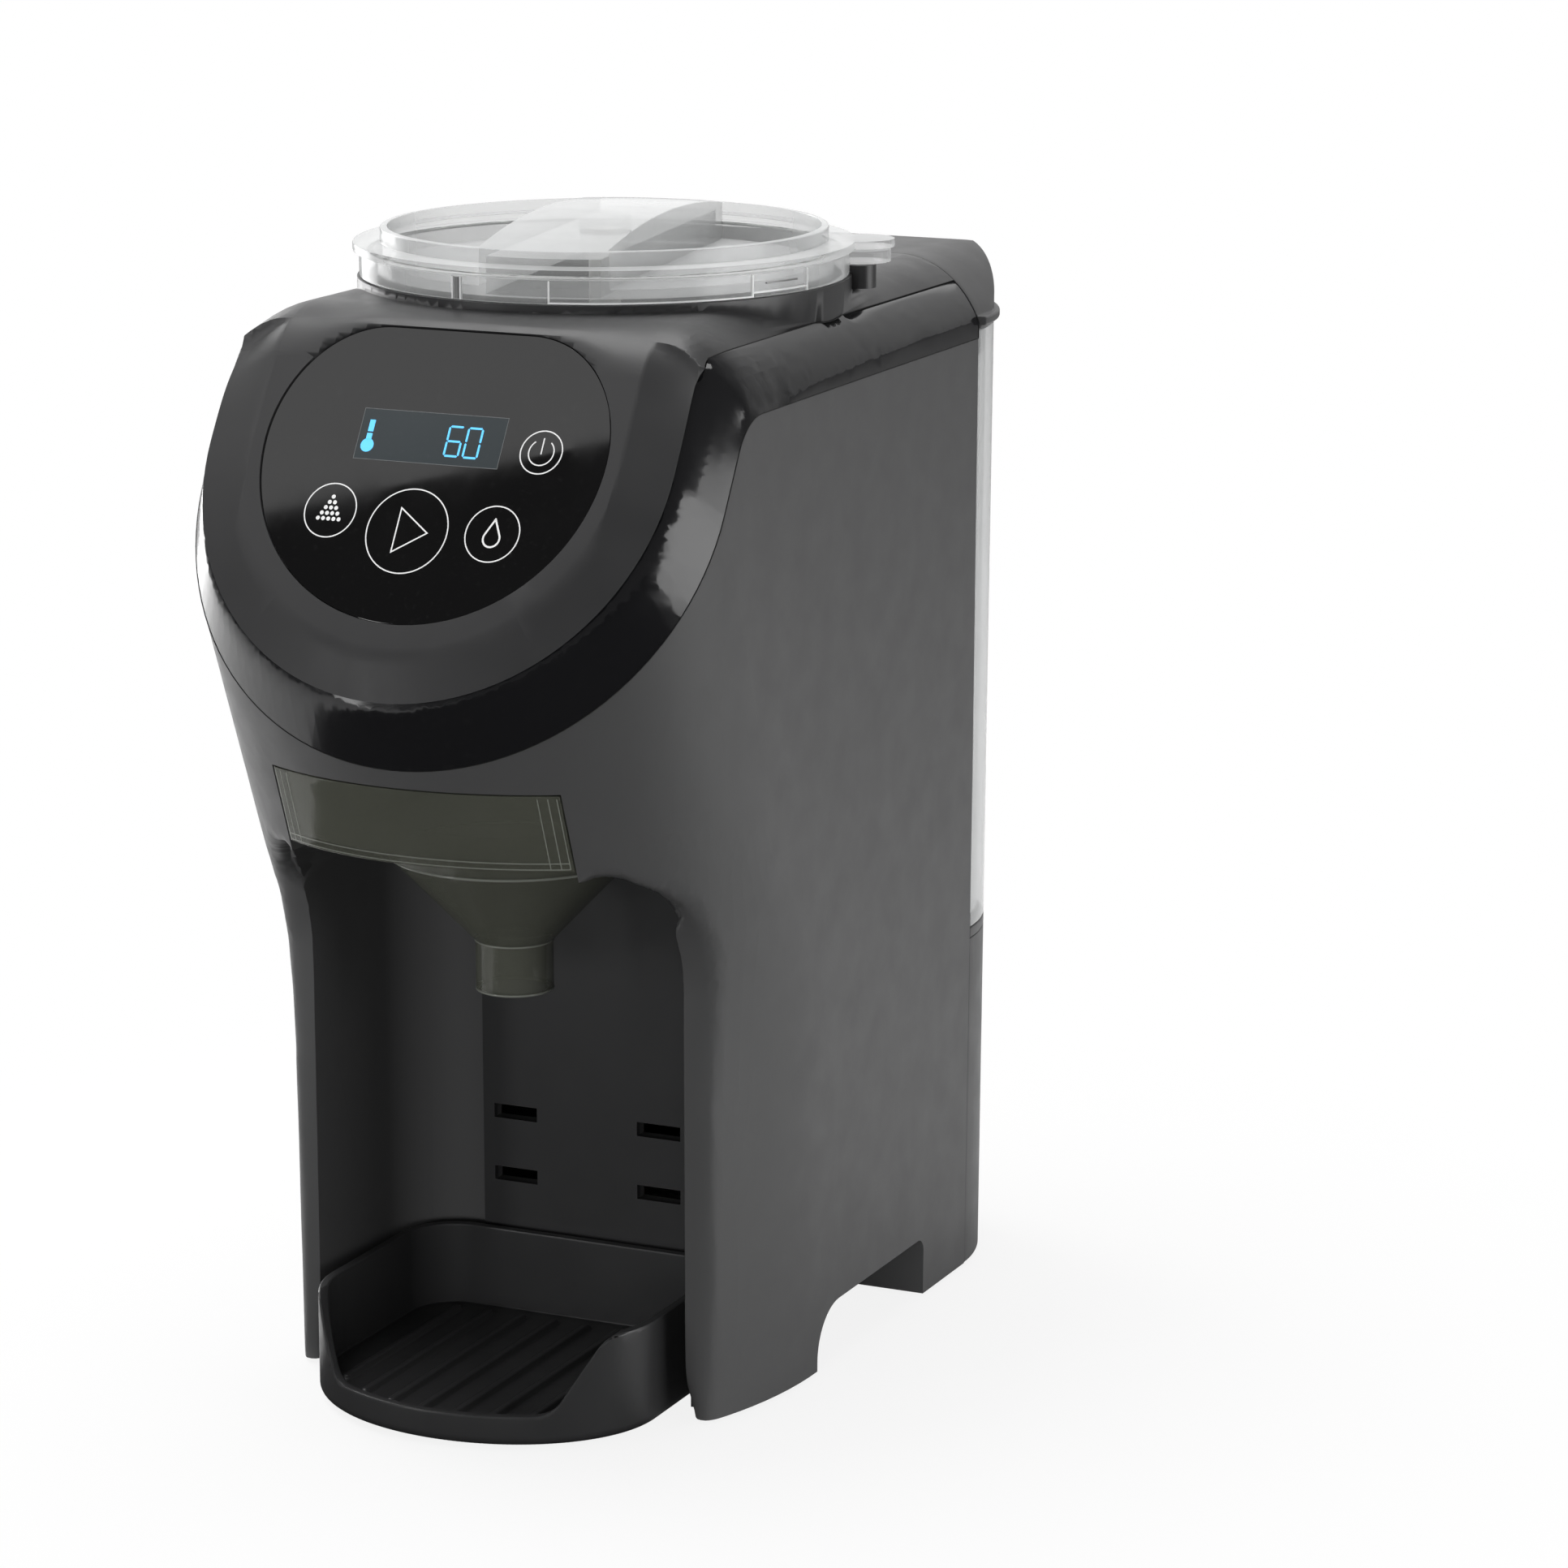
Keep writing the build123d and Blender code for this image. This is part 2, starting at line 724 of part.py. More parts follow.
with BuildPart() as control_board:
    with BuildSketch(slope_plane(board_rise)):
        add(lens_outline(-board_grow))
    extrude(amount=board_t)
    for side in sides:
        for across, up in board_posts:
            with BuildSketch(slope_plane(board_rise + board_t)):
                with Locations((side * across, up)):
                    Circle(board_post_r)
            extrude(amount=face_back_rise - board_rise - board_t)
            with BuildSketch(slope_plane(board_rise)):
                with Locations((side * across, up)):
                    Circle(screw_r + screw_play)
            extrude(amount=face_back_rise - board_rise, mode=Mode.SUBTRACT)
    with BuildSketch(slope_plane(board_rise)):
        with Locations(*chip_places):
            Rectangle(chip_w, chip_d)
        with Locations((0, plug_shift)):
            Rectangle(plug_w, plug_d)
    extrude(amount=-board_t)
control_board.part.label = "control_board"
export_step(control_board.part, "parts/control_board.step")

with BuildPart() as board_screws:
    for side in sides:
        for across, up in board_posts:
            with BuildSketch(slope_plane(board_rise)):
                with Locations((side * across, up)):
                    Circle(head_r)
            extrude(amount=-head_h)
            with BuildSketch(slope_plane(board_rise)):
                with Locations((side * across, up)):
                    Circle(screw_r)
            extrude(amount=band_rise - board_rise)
board_screws.part.label = "board_screws"
export_step(board_screws.part, "parts/board_screws.step")

with BuildPart() as display_module:
    with BuildSketch(slope_plane(board_rise + board_t)):
        with Locations((0, display_shift)):
            RectangleRounded(display_w, display_h, part_gap * 5)
    extrude(amount=lens_low_rise - board_rise - board_t - part_gap)
display_module.part.label = "display_module"
export_step(display_module.part, "parts/display_module.step")

# ---- Powder well: a cup under the deck, with the powder chute fitted in the hole in its floor ----
chute_y = well_y - outlet_reach
well_low_z = well_floor_z - 3
floor_top_z = well_floor_z + well_floor_t
plate_top_z = plate_z + plate_t
pillar_x = plate_half_w - pillar_in
pillar_ys = (plate_front_y + boss_r, plate_rear_y - pillar_in - 1)
with BuildPart() as powder_well:
    rod(well_outer_r, well_floor_z, collar_low_z - part_gap, 0, well_y)
    for side in sides:
        for lug_y in well_lug_y:
            with Locations((side * (well_screw_x + well_lug_end - well_lug_len / 2), lug_y, well_floor_z)):
                Box(well_lug_len, well_lug_w, well_lug_t, align=(Align.CENTER, Align.CENTER, Align.MIN))
            rod(screw_r + screw_play, well_floor_z, well_floor_z + well_lug_t, side * well_screw_x, lug_y,
                Mode.SUBTRACT)
    rod(well_r, floor_top_z, collar_low_z, 0, well_y, Mode.SUBTRACT)
    rod(bush_r + wall, well_low_z, well_floor_z, 0, well_y)
    rod(bush_r + screw_play, well_low_z, floor_top_z, 0, well_y, Mode.SUBTRACT)
    rod(chute_spigot_r + part_gap, well_floor_z, floor_top_z, 0, chute_y, Mode.SUBTRACT)
    for side in sides:
        for pillar_y in pillar_ys:
            rod(boss_r, plate_top_z, well_floor_z, side * pillar_x, pillar_y)
            rod(screw_r + screw_play, plate_top_z, plate_top_z + 8, side * pillar_x, pillar_y,
                Mode.SUBTRACT)
powder_well.part.label = "powder_well"
export_step(powder_well.part, "parts/powder_well.step")

with BuildPart() as powder_chute:
    rod(chute_r + chute_wall, chute_end_z, well_floor_z, 0, chute_y)
    rod(chute_flange_r, well_floor_z - chute_flange_t, well_floor_z, 0, chute_y)
    rod(chute_spigot_r, well_floor_z, floor_top_z, 0, chute_y)
    rod(chute_r, chute_end_z, floor_top_z, 0, chute_y, Mode.SUBTRACT)
powder_chute.part.label = "powder_chute"
export_step(powder_chute.part, "parts/powder_chute.step")

with BuildPart() as well_screws:
    head_z = well_floor_z + well_lug_t
    for side in sides:
        for lug_y in well_lug_y:
            rod(head_r, head_z, head_z + head_h, side * well_screw_x, lug_y)
            rod(screw_r, well_floor_z - 6, head_z, side * well_screw_x, lug_y)
well_screws.part.label = "well_screws"
export_step(well_screws.part, "parts/well_screws.step")

# ---- Powder container ----
inner_r = container_r - container_wall
container_floor_top = container_floor_z + container_floor_t
with BuildPart() as powder_container:
    rod(container_r, container_floor_z, rim_z, 0, well_y)
    rod(rim_r, rim_z, rim_top_z, 0, well_y)
    rod(lobe_r, rim_top_z - lobe_t, rim_top_z, lobe_x, lobe_y)
    rod(inner_r, container_floor_top, rim_top_z, 0, well_y, Mode.SUBTRACT)
    rod(post_r + slide_gap, rim_z, rim_top_z - lobe_t, lobe_x, lobe_y, Mode.SUBTRACT)
    rod(outlet_r, container_floor_z, container_floor_top, 0, chute_y, Mode.SUBTRACT)
    rod(hub_r + run_gap, container_floor_z, container_floor_top, 0, well_y, Mode.SUBTRACT)
powder_container.part.label = "powder_container"
export_step(powder_container.part, "parts/powder_container.step")

# ---- Container lid with a grip bar between two finger wells ----
plate_low_z = rim_top_z + lid_seal_t
cap_rise = cap_top_z - cap_edge_z
crown_r = (cap_r**2 + cap_rise**2) / (2 * cap_rise)
inner_cap_r = cap_r - cap_wall
lid_x_dir = (cos(radians(grip_turn)), sin(radians(grip_turn)), 0)
lid_plane = Plane(origin=(0, well_y, finger_well_z), x_dir=lid_x_dir, z_dir=(0, 0, 1))
with BuildPart() as container_lid:
    rod(inner_r - part_gap, finger_well_z, plate_low_z, 0, well_y)
    rod(flange_r, plate_low_z, plate_low_z + flange_t, 0, well_y)
    rod(lobe_r + 1, plate_low_z, plate_low_z + flange_t, lobe_x, lobe_y)
    rod(cap_r, plate_low_z, cap_top_z, 0, well_y)
    with Locations((0, well_y, cap_top_z - crown_r)):
        Sphere(crown_r, mode=Mode.INTERSECT)
    with BuildSketch(lid_plane.offset(cap_wall)):
        Circle(inner_cap_r)
        Rectangle(grip_w, 3 * cap_r, mode=Mode.SUBTRACT)
    extrude(amount=beyond / 5, mode=Mode.SUBTRACT)
    with BuildSketch(lid_plane):
        Circle(inner_cap_r)
        Rectangle(grip_w - 2 * cap_wall, 3 * cap_r, mode=Mode.INTERSECT)
    extrude(amount=cap_edge_z - finger_well_z - cap_wall, mode=Mode.SUBTRACT)
    rod(stirrer_r + 3, finger_well_z, cap_top_z - cap_wall, 0, well_y, Mode.SUBTRACT)
container_lid.part.label = "container_lid"
export_step(container_lid.part, "parts/container_lid.step")

with BuildPart() as lid_seal:
    rod(container_r, rim_top_z, plate_low_z, 0, well_y)
    rod(inner_r, rim_top_z, plate_low_z, 0, well_y, Mode.SUBTRACT)
lid_seal.part.label = "lid_seal"
export_step(lid_seal.part, "parts/lid_seal.step")

# ---- Dosing wheel, scraper and stirrer inside the container ----
wheel_z = container_floor_top + slide_gap
wheel_top_z = wheel_z + wheel_t
with BuildPart() as dosing_wheel:
    rod(wheel_r, wheel_z, wheel_top_z, 0, well_y)
    rod(hub_r, container_floor_z + part_gap, wheel_z, 0, well_y)
    with BuildSketch(Plane.XY.offset(wheel_z)):
        with Locations((0, well_y)):
            with PolarLocations(outlet_reach, wheel_pockets, start_angle=90):
                Circle(pocket_r)
    extrude(amount=wheel_t, mode=Mode.SUBTRACT)
    with BuildSketch(Plane.XY.offset(container_floor_z)):
        with Locations((0, well_y)):
            RegularPolygon(dog_r + slide_gap, 6)
    extrude(amount=dog_h + slide_gap, mode=Mode.SUBTRACT)
dosing_wheel.part.label = "dosing_wheel"
export_step(dosing_wheel.part, "parts/dosing_wheel.step")

with BuildPart() as powder_scraper:
    bar((-pocket_r - 3, well_y - inner_r, wheel_top_z + slide_gap),
        (pocket_r + 3, well_y - inner_r + 26, wheel_top_z + slide_gap + 2))
    rod(inner_r, wheel_top_z, wheel_top_z + 4, 0, well_y, Mode.INTERSECT)
powder_scraper.part.label = "powder_scraper"
export_step(powder_scraper.part, "parts/powder_scraper.step")

with BuildPart() as stirrer:
    rod(stirrer_r, wheel_top_z, stirrer_top_z, 0, well_y)
    rod(hub_r + 2, wheel_top_z, wheel_top_z + 3, 0, well_y)
    for level, turn in zip(paddle_zs, paddle_turns):
        turn_dir = (cos(radians(turn)), sin(radians(turn)), 0)
        blade = Plane(origin=(0, well_y, level), x_dir=turn_dir, z_dir=(0, 0, 1))
        with BuildSketch(blade):
            SlotOverall(2 * paddle_reach, hub_r)
        extrude(amount=wall)
stirrer.part.label = "stirrer"
export_step(stirrer.part, "parts/stirrer.step")

# ---- Gear train under the well ----
pitch_reach = gear_module * (gear_teeth + pinion_teeth) / 2
pinion_y = well_y + pitch_reach
gear_centre = Plane.XY.offset(gear_z)
with BuildPart() as output_gear:
    with BuildSketch(gear_centre):
        with Locations((0, well_y)):
            add(gear_outline(gear_teeth, 90))
            Circle(shaft_r + screw_play, mode=Mode.SUBTRACT)
    extrude(amount=gear_t)
output_gear.part.label = "output_gear"
export_step(output_gear.part, "parts/output_gear.step")

with BuildPart() as output_shaft:
    rod(pin_r, plate_z, plate_top_z, 0, well_y)
    rod(shaft_r, plate_top_z, floor_top_z, 0, well_y)
    with BuildSketch(Plane.XY.offset(floor_top_z)):
        with Locations((0, well_y)):
            RegularPolygon(dog_r, 6)
    extrude(amount=container_floor_z - floor_top_z + dog_h)
output_shaft.part.label = "output_shaft"
export_step(output_shaft.part, "parts/output_shaft.step")

with BuildPart() as shaft_bush:
    rod(bush_r, gear_z + gear_t + part_gap, floor_top_z, 0, well_y)
    rod(shaft_r + run_gap, gear_z, floor_top_z, 0, well_y, Mode.SUBTRACT)
shaft_bush.part.label = "shaft_bush"
export_step(shaft_bush.part, "parts/shaft_bush.step")

with BuildPart() as drive_pinion:
    with BuildSketch(gear_centre):
        with Locations((0, pinion_y)):
            add(gear_outline(pinion_teeth, -90 + 180 / pinion_teeth))
            Circle(motor_shaft_r + screw_play, mode=Mode.SUBTRACT)
    extrude(amount=gear_t)
drive_pinion.part.label = "drive_pinion"
export_step(drive_pinion.part, "parts/drive_pinion.step")

with BuildPart() as motor_shaft:
    rod(motor_shaft_r, plate_z - 20, gear_z + gear_t, 0, pinion_y)
motor_shaft.part.label = "motor_shaft"
export_step(motor_shaft.part, "parts/motor_shaft.step")

with BuildPart() as powder_motor:
    rod(motor_r, plate_z - motor_h, plate_z, 0, pinion_y)
    rod(motor_shaft_r + run_gap, plate_z - 20, plate_z, 0, pinion_y, Mode.SUBTRACT)
powder_motor.part.label = "powder_motor"
export_step(powder_motor.part, "parts/powder_motor.step")

with BuildPart() as gear_plate:
    bar((-plate_half_w, plate_front_y, plate_z), (plate_half_w, plate_rear_y, plate_top_z))
    rod(motor_shaft_r + slide_gap, plate_z, plate_top_z, 0, pinion_y, Mode.SUBTRACT)
    rod(pin_r + run_gap, plate_z, plate_top_z, 0, well_y, Mode.SUBTRACT)
    for side in sides:
        for pillar_y in pillar_ys:
            rod(screw_r + screw_play, plate_z, plate_top_z, side * pillar_x, pillar_y, Mode.SUBTRACT)
gear_plate.part.label = "gear_plate"
export_step(gear_plate.part, "parts/gear_plate.step")

with BuildPart() as plate_screws:
    for side in sides:
        for pillar_y in pillar_ys:
            rod(head_r, plate_z - head_h, plate_z, side * pillar_x, pillar_y)
            rod(screw_r, plate_z, plate_top_z + 7, side * pillar_x, pillar_y)
plate_screws.part.label = "plate_screws"
export_step(plate_screws.part, "parts/plate_screws.step")

# ---- Mixing funnel: a drawer with a cone under it and a domed cover ----
with BuildPart() as drawer_space:
    add(body_inner)
    side_in = funnel_half_w - funnel_wall
    bar((-side_in, -beyond, funnel_low_z + funnel_wall), (side_in, funnel_rear_y - funnel_wall, neck_z + 60),
        Mode.INTERSECT)

with BuildPart() as funnel_body:
    add(body_outer)
    bar((-funnel_half_w, -beyond, funnel_low_z), (funnel_half_w, funnel_rear_y, panel_top_z), Mode.INTERSECT)
    add(drawer_space.part, mode=Mode.SUBTRACT)
    bar((-beyond, cover_front_y - slide_gap, funnel_side_top_z), (beyond, beyond, beyond), Mode.SUBTRACT)
    with BuildSketch(Plane.XZ.offset(-spout_y)):
        with BuildLine():
            Polyline((0, funnel_low_z), (ring_r, funnel_low_z), (ring_r, ring_low_z), (spout_r, cone_low_z),
                     (spout_r, spout_low_z), (0, spout_low_z), close=True)
        make_face()
    revolve(axis=Axis((0, spout_y, 0), (0, 0, 1)))
    with BuildSketch(Plane.XZ.offset(-spout_y)):
        with BuildLine():
            bore_r = ring_r - funnel_wall
            Polyline((0, funnel_low_z + funnel_wall), (bore_r, funnel_low_z + funnel_wall),
                     (bore_r, ring_low_z), (spout_r - funnel_wall, cone_low_z),
                     (spout_r - funnel_wall, spout_low_z), (0, spout_low_z), close=True)
        make_face()
    revolve(axis=Axis((0, spout_y, 0), (0, 0, 1)), mode=Mode.SUBTRACT)
funnel_body.part.label = "funnel_body"
export_step(funnel_body.part, "parts/funnel_body.step")

cover_top_z = funnel_side_top_z + funnel_wall
with BuildPart() as dome_bore:
    with BuildSketch(Plane.XY.offset(cover_top_z)):
        with Locations((0, spout_y)):
            Circle(dome_base_r - dome_wall)
    with BuildSketch(Plane.XY.offset(dome_top_z)):
        with Locations((0, dome_top_y)):
            RectangleRounded(dome_top_w - 2 * dome_wall, dome_top_d - 2 * dome_wall, dome_top_r - dome_wall)
    loft()

with BuildPart() as funnel_cover:
    bar((-funnel_half_w, cover_front_y, funnel_side_top_z), (funnel_half_w, funnel_rear_y, cover_top_z))
    rod(dome_base_r + 4, cover_top_z, cover_top_z + dome_wall, 0, spout_y)
    rod(dome_base_r + 2, cover_top_z, cover_top_z + dome_wall, 0, spout_y, Mode.SUBTRACT)
    with BuildSketch(Plane.XY.offset(cover_top_z)):
        with Locations((0, spout_y)):
            Circle(dome_base_r)
    with BuildSketch(Plane.XY.offset(dome_top_z)):
        with Locations((0, dome_top_y)):
            RectangleRounded(dome_top_w, dome_top_d, dome_top_r)
    loft()
    lying_rod(nozzle_r + dome_wall, (0, spout_y + dome_base_r - 4, nozzle_z), funnel_rear_y)
    rod(dome_base_r - dome_wall, funnel_side_top_z, cover_top_z, 0, spout_y, Mode.SUBTRACT)
    add(dome_bore.part, mode=Mode.SUBTRACT)
    lying_rod(nozzle_r, (0, spout_y, nozzle_z), funnel_rear_y, Mode.SUBTRACT)
funnel_cover.part.label = "funnel_cover"
export_step(funnel_cover.part, "parts/funnel_cover.step")

# ---- Frame that guides the funnel and holds the water nozzle ----
frame_half_w = slot_half_w + frame_t
frame_rear_y = slot_rear_y + frame_t
with BuildPart() as funnel_frame:
    bar((-frame_half_w, frame_front_y, ceiling_z), (frame_half_w, frame_rear_y, funnel_side_top_z))
    bar((-slot_half_w, -beyond, ceiling_z), (slot_half_w, slot_rear_y, cover_top_z), Mode.SUBTRACT)
    bar((-3 * nozzle_r, slot_rear_y, funnel_side_top_z),
        (3 * nozzle_r, frame_rear_y, nozzle_z + 2 * nozzle_r))
    lying_rod(nozzle_r + screw_play, (0, slot_rear_y, nozzle_z), frame_rear_y, Mode.SUBTRACT)
funnel_frame.part.label = "funnel_frame"
export_step(funnel_frame.part, "parts/funnel_frame.step")

nozzle_flange_y = frame_rear_y + 2
with BuildPart() as water_nozzle:
    lying_rod(nozzle_r, (0, slot_rear_y, nozzle_z), frame_rear_y)
    lying_rod(2 * nozzle_r, (0, frame_rear_y, nozzle_z), nozzle_flange_y)
    lying_rod(barb_r, (0, nozzle_flange_y, nozzle_z), nozzle_flange_y + barb_len)
    lying_rod(barb_bore_r, (0, slot_rear_y, nozzle_z), nozzle_flange_y + barb_len, Mode.SUBTRACT)
water_nozzle.part.label = "water_nozzle"
export_step(water_nozzle.part, "parts/water_nozzle.step")

# ---- Bottle tray and the liner it hangs in ----
def tray_outline(inset):
    """Tray from above: elliptical front, straight sides, rounded rear corners."""
    with BuildSketch() as outline:
        add(rounded_front(tray_half_w - inset, tray_c_y, tray_front_y + inset, tray_rear_y - inset))
        fillet(outline.vertices().group_by(Axis.Y)[-1], tray_corner_r - inset)
    return outline.sketch


def tray_depth(x, inset):
    """Front edge of the tray at a distance from its middle."""
    half_w = tray_half_w - inset
    return tray_c_y - (tray_c_y - tray_front_y - inset) * sqrt(1 - (x / half_w) ** 2)


tray_floor_top = tray_low_z + tray_floor_t
with BuildPart() as bottle_tray:
    with BuildSketch(Plane.XY.offset(tray_low_z)):
        add(tray_outline(0))
    extrude(amount=tray_top_z - tray_low_z)
    fillet(bottle_tray.edges().group_by(Axis.Z)[0], tray_wall)
    with BuildSketch(Plane.XY.offset(tray_floor_top)):
        add(tray_outline(tray_wall))
    extrude(amount=tray_top_z, mode=Mode.SUBTRACT)
    for rib in range(rib_count):
        x = (rib - (rib_count - 1) / 2) * rib_pitch
        rib_front_y = tray_depth(x, 2 * tray_wall)
        rib_rear_y = tray_rear_y - 3 * tray_wall
        with BuildSketch(Plane.XY.offset(tray_floor_top)):
            with Locations((x, (rib_front_y + rib_rear_y) / 2)):
                SlotOverall(rib_rear_y - rib_front_y, rib_w, rotation=90)
        extrude(amount=rib_h)
    with BuildSketch(Plane.XZ.offset(-tray_c_y - tray_wall)):
        with BuildLine():
            FilletPolyline((-notch_high_w, tray_top_z + 10), (-notch_high_w / 2, tray_top_z),
                           (-notch_low_w / 2, tray_lip_z), (notch_low_w / 2, tray_lip_z),
                           (notch_high_w / 2, tray_top_z), (notch_high_w, tray_top_z + 10), radius=7)
            Line((-notch_high_w, tray_top_z + 10), (notch_high_w, tray_top_z + 10))
        make_face()
    extrude(amount=beyond, mode=Mode.SUBTRACT)
    for side in sides:
        with Locations((side * tongue_x, tray_rear_y - tray_wall / 2, slot_z)):
            Box(tongue_w, tongue_reach + tray_wall / 2, tongue_t,
                align=(Align.CENTER, Align.MIN, Align.CENTER))
bottle_tray.part.label = "bottle_tray"
export_step(bottle_tray.part, "parts/bottle_tray.step")

with BuildPart() as bay_liner:
    bar((-liner_half_w, bay_back_y - liner_t, liner_low_z), (liner_half_w, bay_back_y, liner_top_z))
    for row in range(slot_rows):
        z = slot_z + row * slot_pitch
        for side in sides:
            with Locations((side * tongue_x, bay_back_y, z)):
                Box(tongue_w + 2 * slot_play, 3 * liner_t, tongue_t + 2 * slot_play, mode=Mode.SUBTRACT)
bay_liner.part.label = "bay_liner"
export_step(bay_liner.part, "parts/bay_liner.step")

# ---- Base plate, rear cover and feet ----
base_half_w = foot_half_w - wall - slide_gap
ear_x = bay_half_w + wall + slide_gap
with BuildPart() as base_plate:
    bar((-base_half_w, bay_back_y + wall + slide_gap, base_z),
        (base_half_w, arch_back_y + wall, base_z + base_t))
    for side in sides:
        low_x = min(side * ear_x, side * base_half_w)
        bar((low_x, arch_front_y - wall, base_z),
            (low_x + base_half_w - ear_x, bay_back_y + wall + 1, base_z + base_t))
        for boss_y in boss_ys:
            rod(screw_r + screw_play, base_z, base_z + base_t, side * boss_x, boss_y, Mode.SUBTRACT)
base_plate.part.label = "base_plate"
export_step(base_plate.part, "parts/base_plate.step")

with BuildPart() as base_screws:
    for side in sides:
        for boss_y in boss_ys:
            rod(head_r, base_z - head_h, base_z, side * boss_x, boss_y)
            rod(screw_r, base_z, boss_top_z - 6, side * boss_x, boss_y)
base_screws.part.label = "base_screws"
export_step(base_screws.part, "parts/base_screws.step")

with BuildPart() as rear_posts:
    for side in sides:
        for post_z in rear_post_zs:
            lying_rod(boss_r, (side * rear_post_x, seam_y, post_z), back_y)
    lying_rod(gland_r + wall, (gland_x, gland_end_y - gland_len - 1, gland_z), back_y)
    add(rear_form(wall / 2, seam_y), mode=Mode.INTERSECT)

with BuildPart() as rear_cavity:
    add(rear_form(wall, seam_y - 1))
    slab(foot_top_z, dock_z + 1)

with BuildPart() as rear_cover:
    add(rear_form(0, seam_y))
    slab(pad_h, dock_z)
    add(rear_cavity.part, mode=Mode.SUBTRACT)
    add(rear_posts.part)
    for side in sides:
        for post_z in rear_post_zs:
            start = (side * rear_post_x, seam_y, post_z)
            lying_rod(screw_r + screw_play, start, seam_y + 12, Mode.SUBTRACT)
    lying_rod(gland_r + screw_play, (gland_x, gland_end_y - gland_len - 2, gland_z), back_y, Mode.SUBTRACT)
rear_cover.part.label = "rear_cover"
export_step(rear_cover.part, "parts/rear_cover.step")

with BuildPart() as rear_screws:
    for side in sides:
        for post_z in rear_post_zs:
            start = (side * rear_post_x, seam_y - wall, post_z)
            lying_rod(head_r, start, seam_y - wall - head_h)
            lying_rod(screw_r, start, seam_y + 10)
rear_screws.part.label = "rear_screws"
export_step(rear_screws.part, "parts/rear_screws.step")

with BuildPart() as power_gland:
    lying_rod(gland_r, (gland_x, gland_end_y - gland_len, gland_z), gland_end_y)
    lying_rod(cord_r, (gland_x, gland_end_y - gland_len, gland_z), gland_end_y, Mode.SUBTRACT)
power_gland.part.label = "power_gland"
export_step(power_gland.part, "parts/power_gland.step")

with BuildPart() as rubber_feet:
    with BuildSketch():
        with Locations((-front_foot_x, front_foot_y), (front_foot_x, front_foot_y)):
            SlotOverall(front_foot_len, foot_w, rotation=90)
        with Locations((-rear_foot_x, rear_foot_y), (rear_foot_x, rear_foot_y)):
            SlotOverall(rear_foot_len, foot_w)
    extrude(amount=pad_h)
rubber_feet.part.label = "rubber_feet"
export_step(rubber_feet.part, "parts/rubber_feet.step")

# ---- Tank dock ----
dock_top_z = dock_z + dock_t
socket_floor_z = socket_low_z + socket_wall
with BuildPart() as tank_dock:
    add(rear_form(0, seam_y + slide_gap))
    slab(dock_z, dock_top_z)
    rod(socket_r + socket_wall, socket_low_z, dock_z, 0, valve_y)
    lying_rod(barb_r, (0, valve_y, inlet_z), valve_y - socket_r - socket_wall - barb_len)
    rod(socket_r, socket_floor_z, dock_top_z, 0, valve_y, Mode.SUBTRACT)
    lying_rod(barb_bore_r, (0, valve_y, inlet_z), valve_y - socket_r - socket_wall - barb_len, Mode.SUBTRACT)
    rod(dock_pin_r, socket_low_z, valve_low_z - 1, 0, valve_y)
tank_dock.part.label = "tank_dock"
export_step(tank_dock.part, "parts/tank_dock.step")

# ---- Water tank ----
tank_z = dock_top_z + tank_gap
tank_front_y = seam_y + slide_gap
tank_floor_top = tank_z + tank_wall
with BuildPart() as tank_cavity:
    add(rear_form(tank_wall, tank_front_y + tank_wall))
    slab(tank_floor_top, tank_top_z + 1)

with BuildPart() as water_tank:
    add(rear_form(0, tank_front_y))
    slab(tank_z, tank_top_z)
    add(tank_cavity.part, mode=Mode.SUBTRACT)
    rod(valve_r + screw_play, tank_z, tank_floor_top, 0, valve_y, Mode.SUBTRACT)
water_tank.part.label = "water_tank"
export_step(water_tank.part, "parts/water_tank.step")

# ---- Tank lid ----
lid_z = tank_top_z + tank_gap
with BuildPart() as lid_bead_ring:
    with BuildSketch(Plane.XY.offset(lid_bead_z)):
        with BuildLine():
            bead_half_w = top_half_w + lid_bead
            EllipticalCenterArc((0, seam_y), bead_half_w, back_y - seam_y + lid_bead, 0, arc_size=180)
            Line((bead_half_w, seam_y), (-bead_half_w, seam_y))
        make_face()
        with Locations((0, tank_front_y)):
            Rectangle(2 * beyond, seam_y, align=(Align.CENTER, Align.MAX), mode=Mode.SUBTRACT)
    extrude(amount=lid_bead_h)
    fillet(lid_bead_ring.edges().group_by(Axis.Z)[0].filter_by(GeomType.ELLIPSE), lid_bead_h / 3)
    fillet(lid_bead_ring.edges().group_by(Axis.Z)[-1].filter_by(GeomType.ELLIPSE), lid_bead_h / 3)

with BuildPart() as lid_skirt:
    add(rear_form(tank_wall + slide_gap, tank_front_y + tank_wall + slide_gap))
    slab(tank_top_z - lid_skirt_h, lid_z + tank_wall)

with BuildPart() as lid_cavity:
    add(rear_form(2 * tank_wall + slide_gap, tank_front_y + 2 * tank_wall + slide_gap))
    slab(tank_top_z - lid_skirt_h, deck_z)

with BuildPart() as tank_lid:
    add(rear_form(0, tank_front_y))
    slab(lid_z, deck_z)
    add(lid_bead_ring.part)
    add(lid_skirt.part)
    add(lid_cavity.part, mode=Mode.SUBTRACT)
tank_lid.part.label = "tank_lid"
export_step(tank_lid.part, "parts/tank_lid.step")

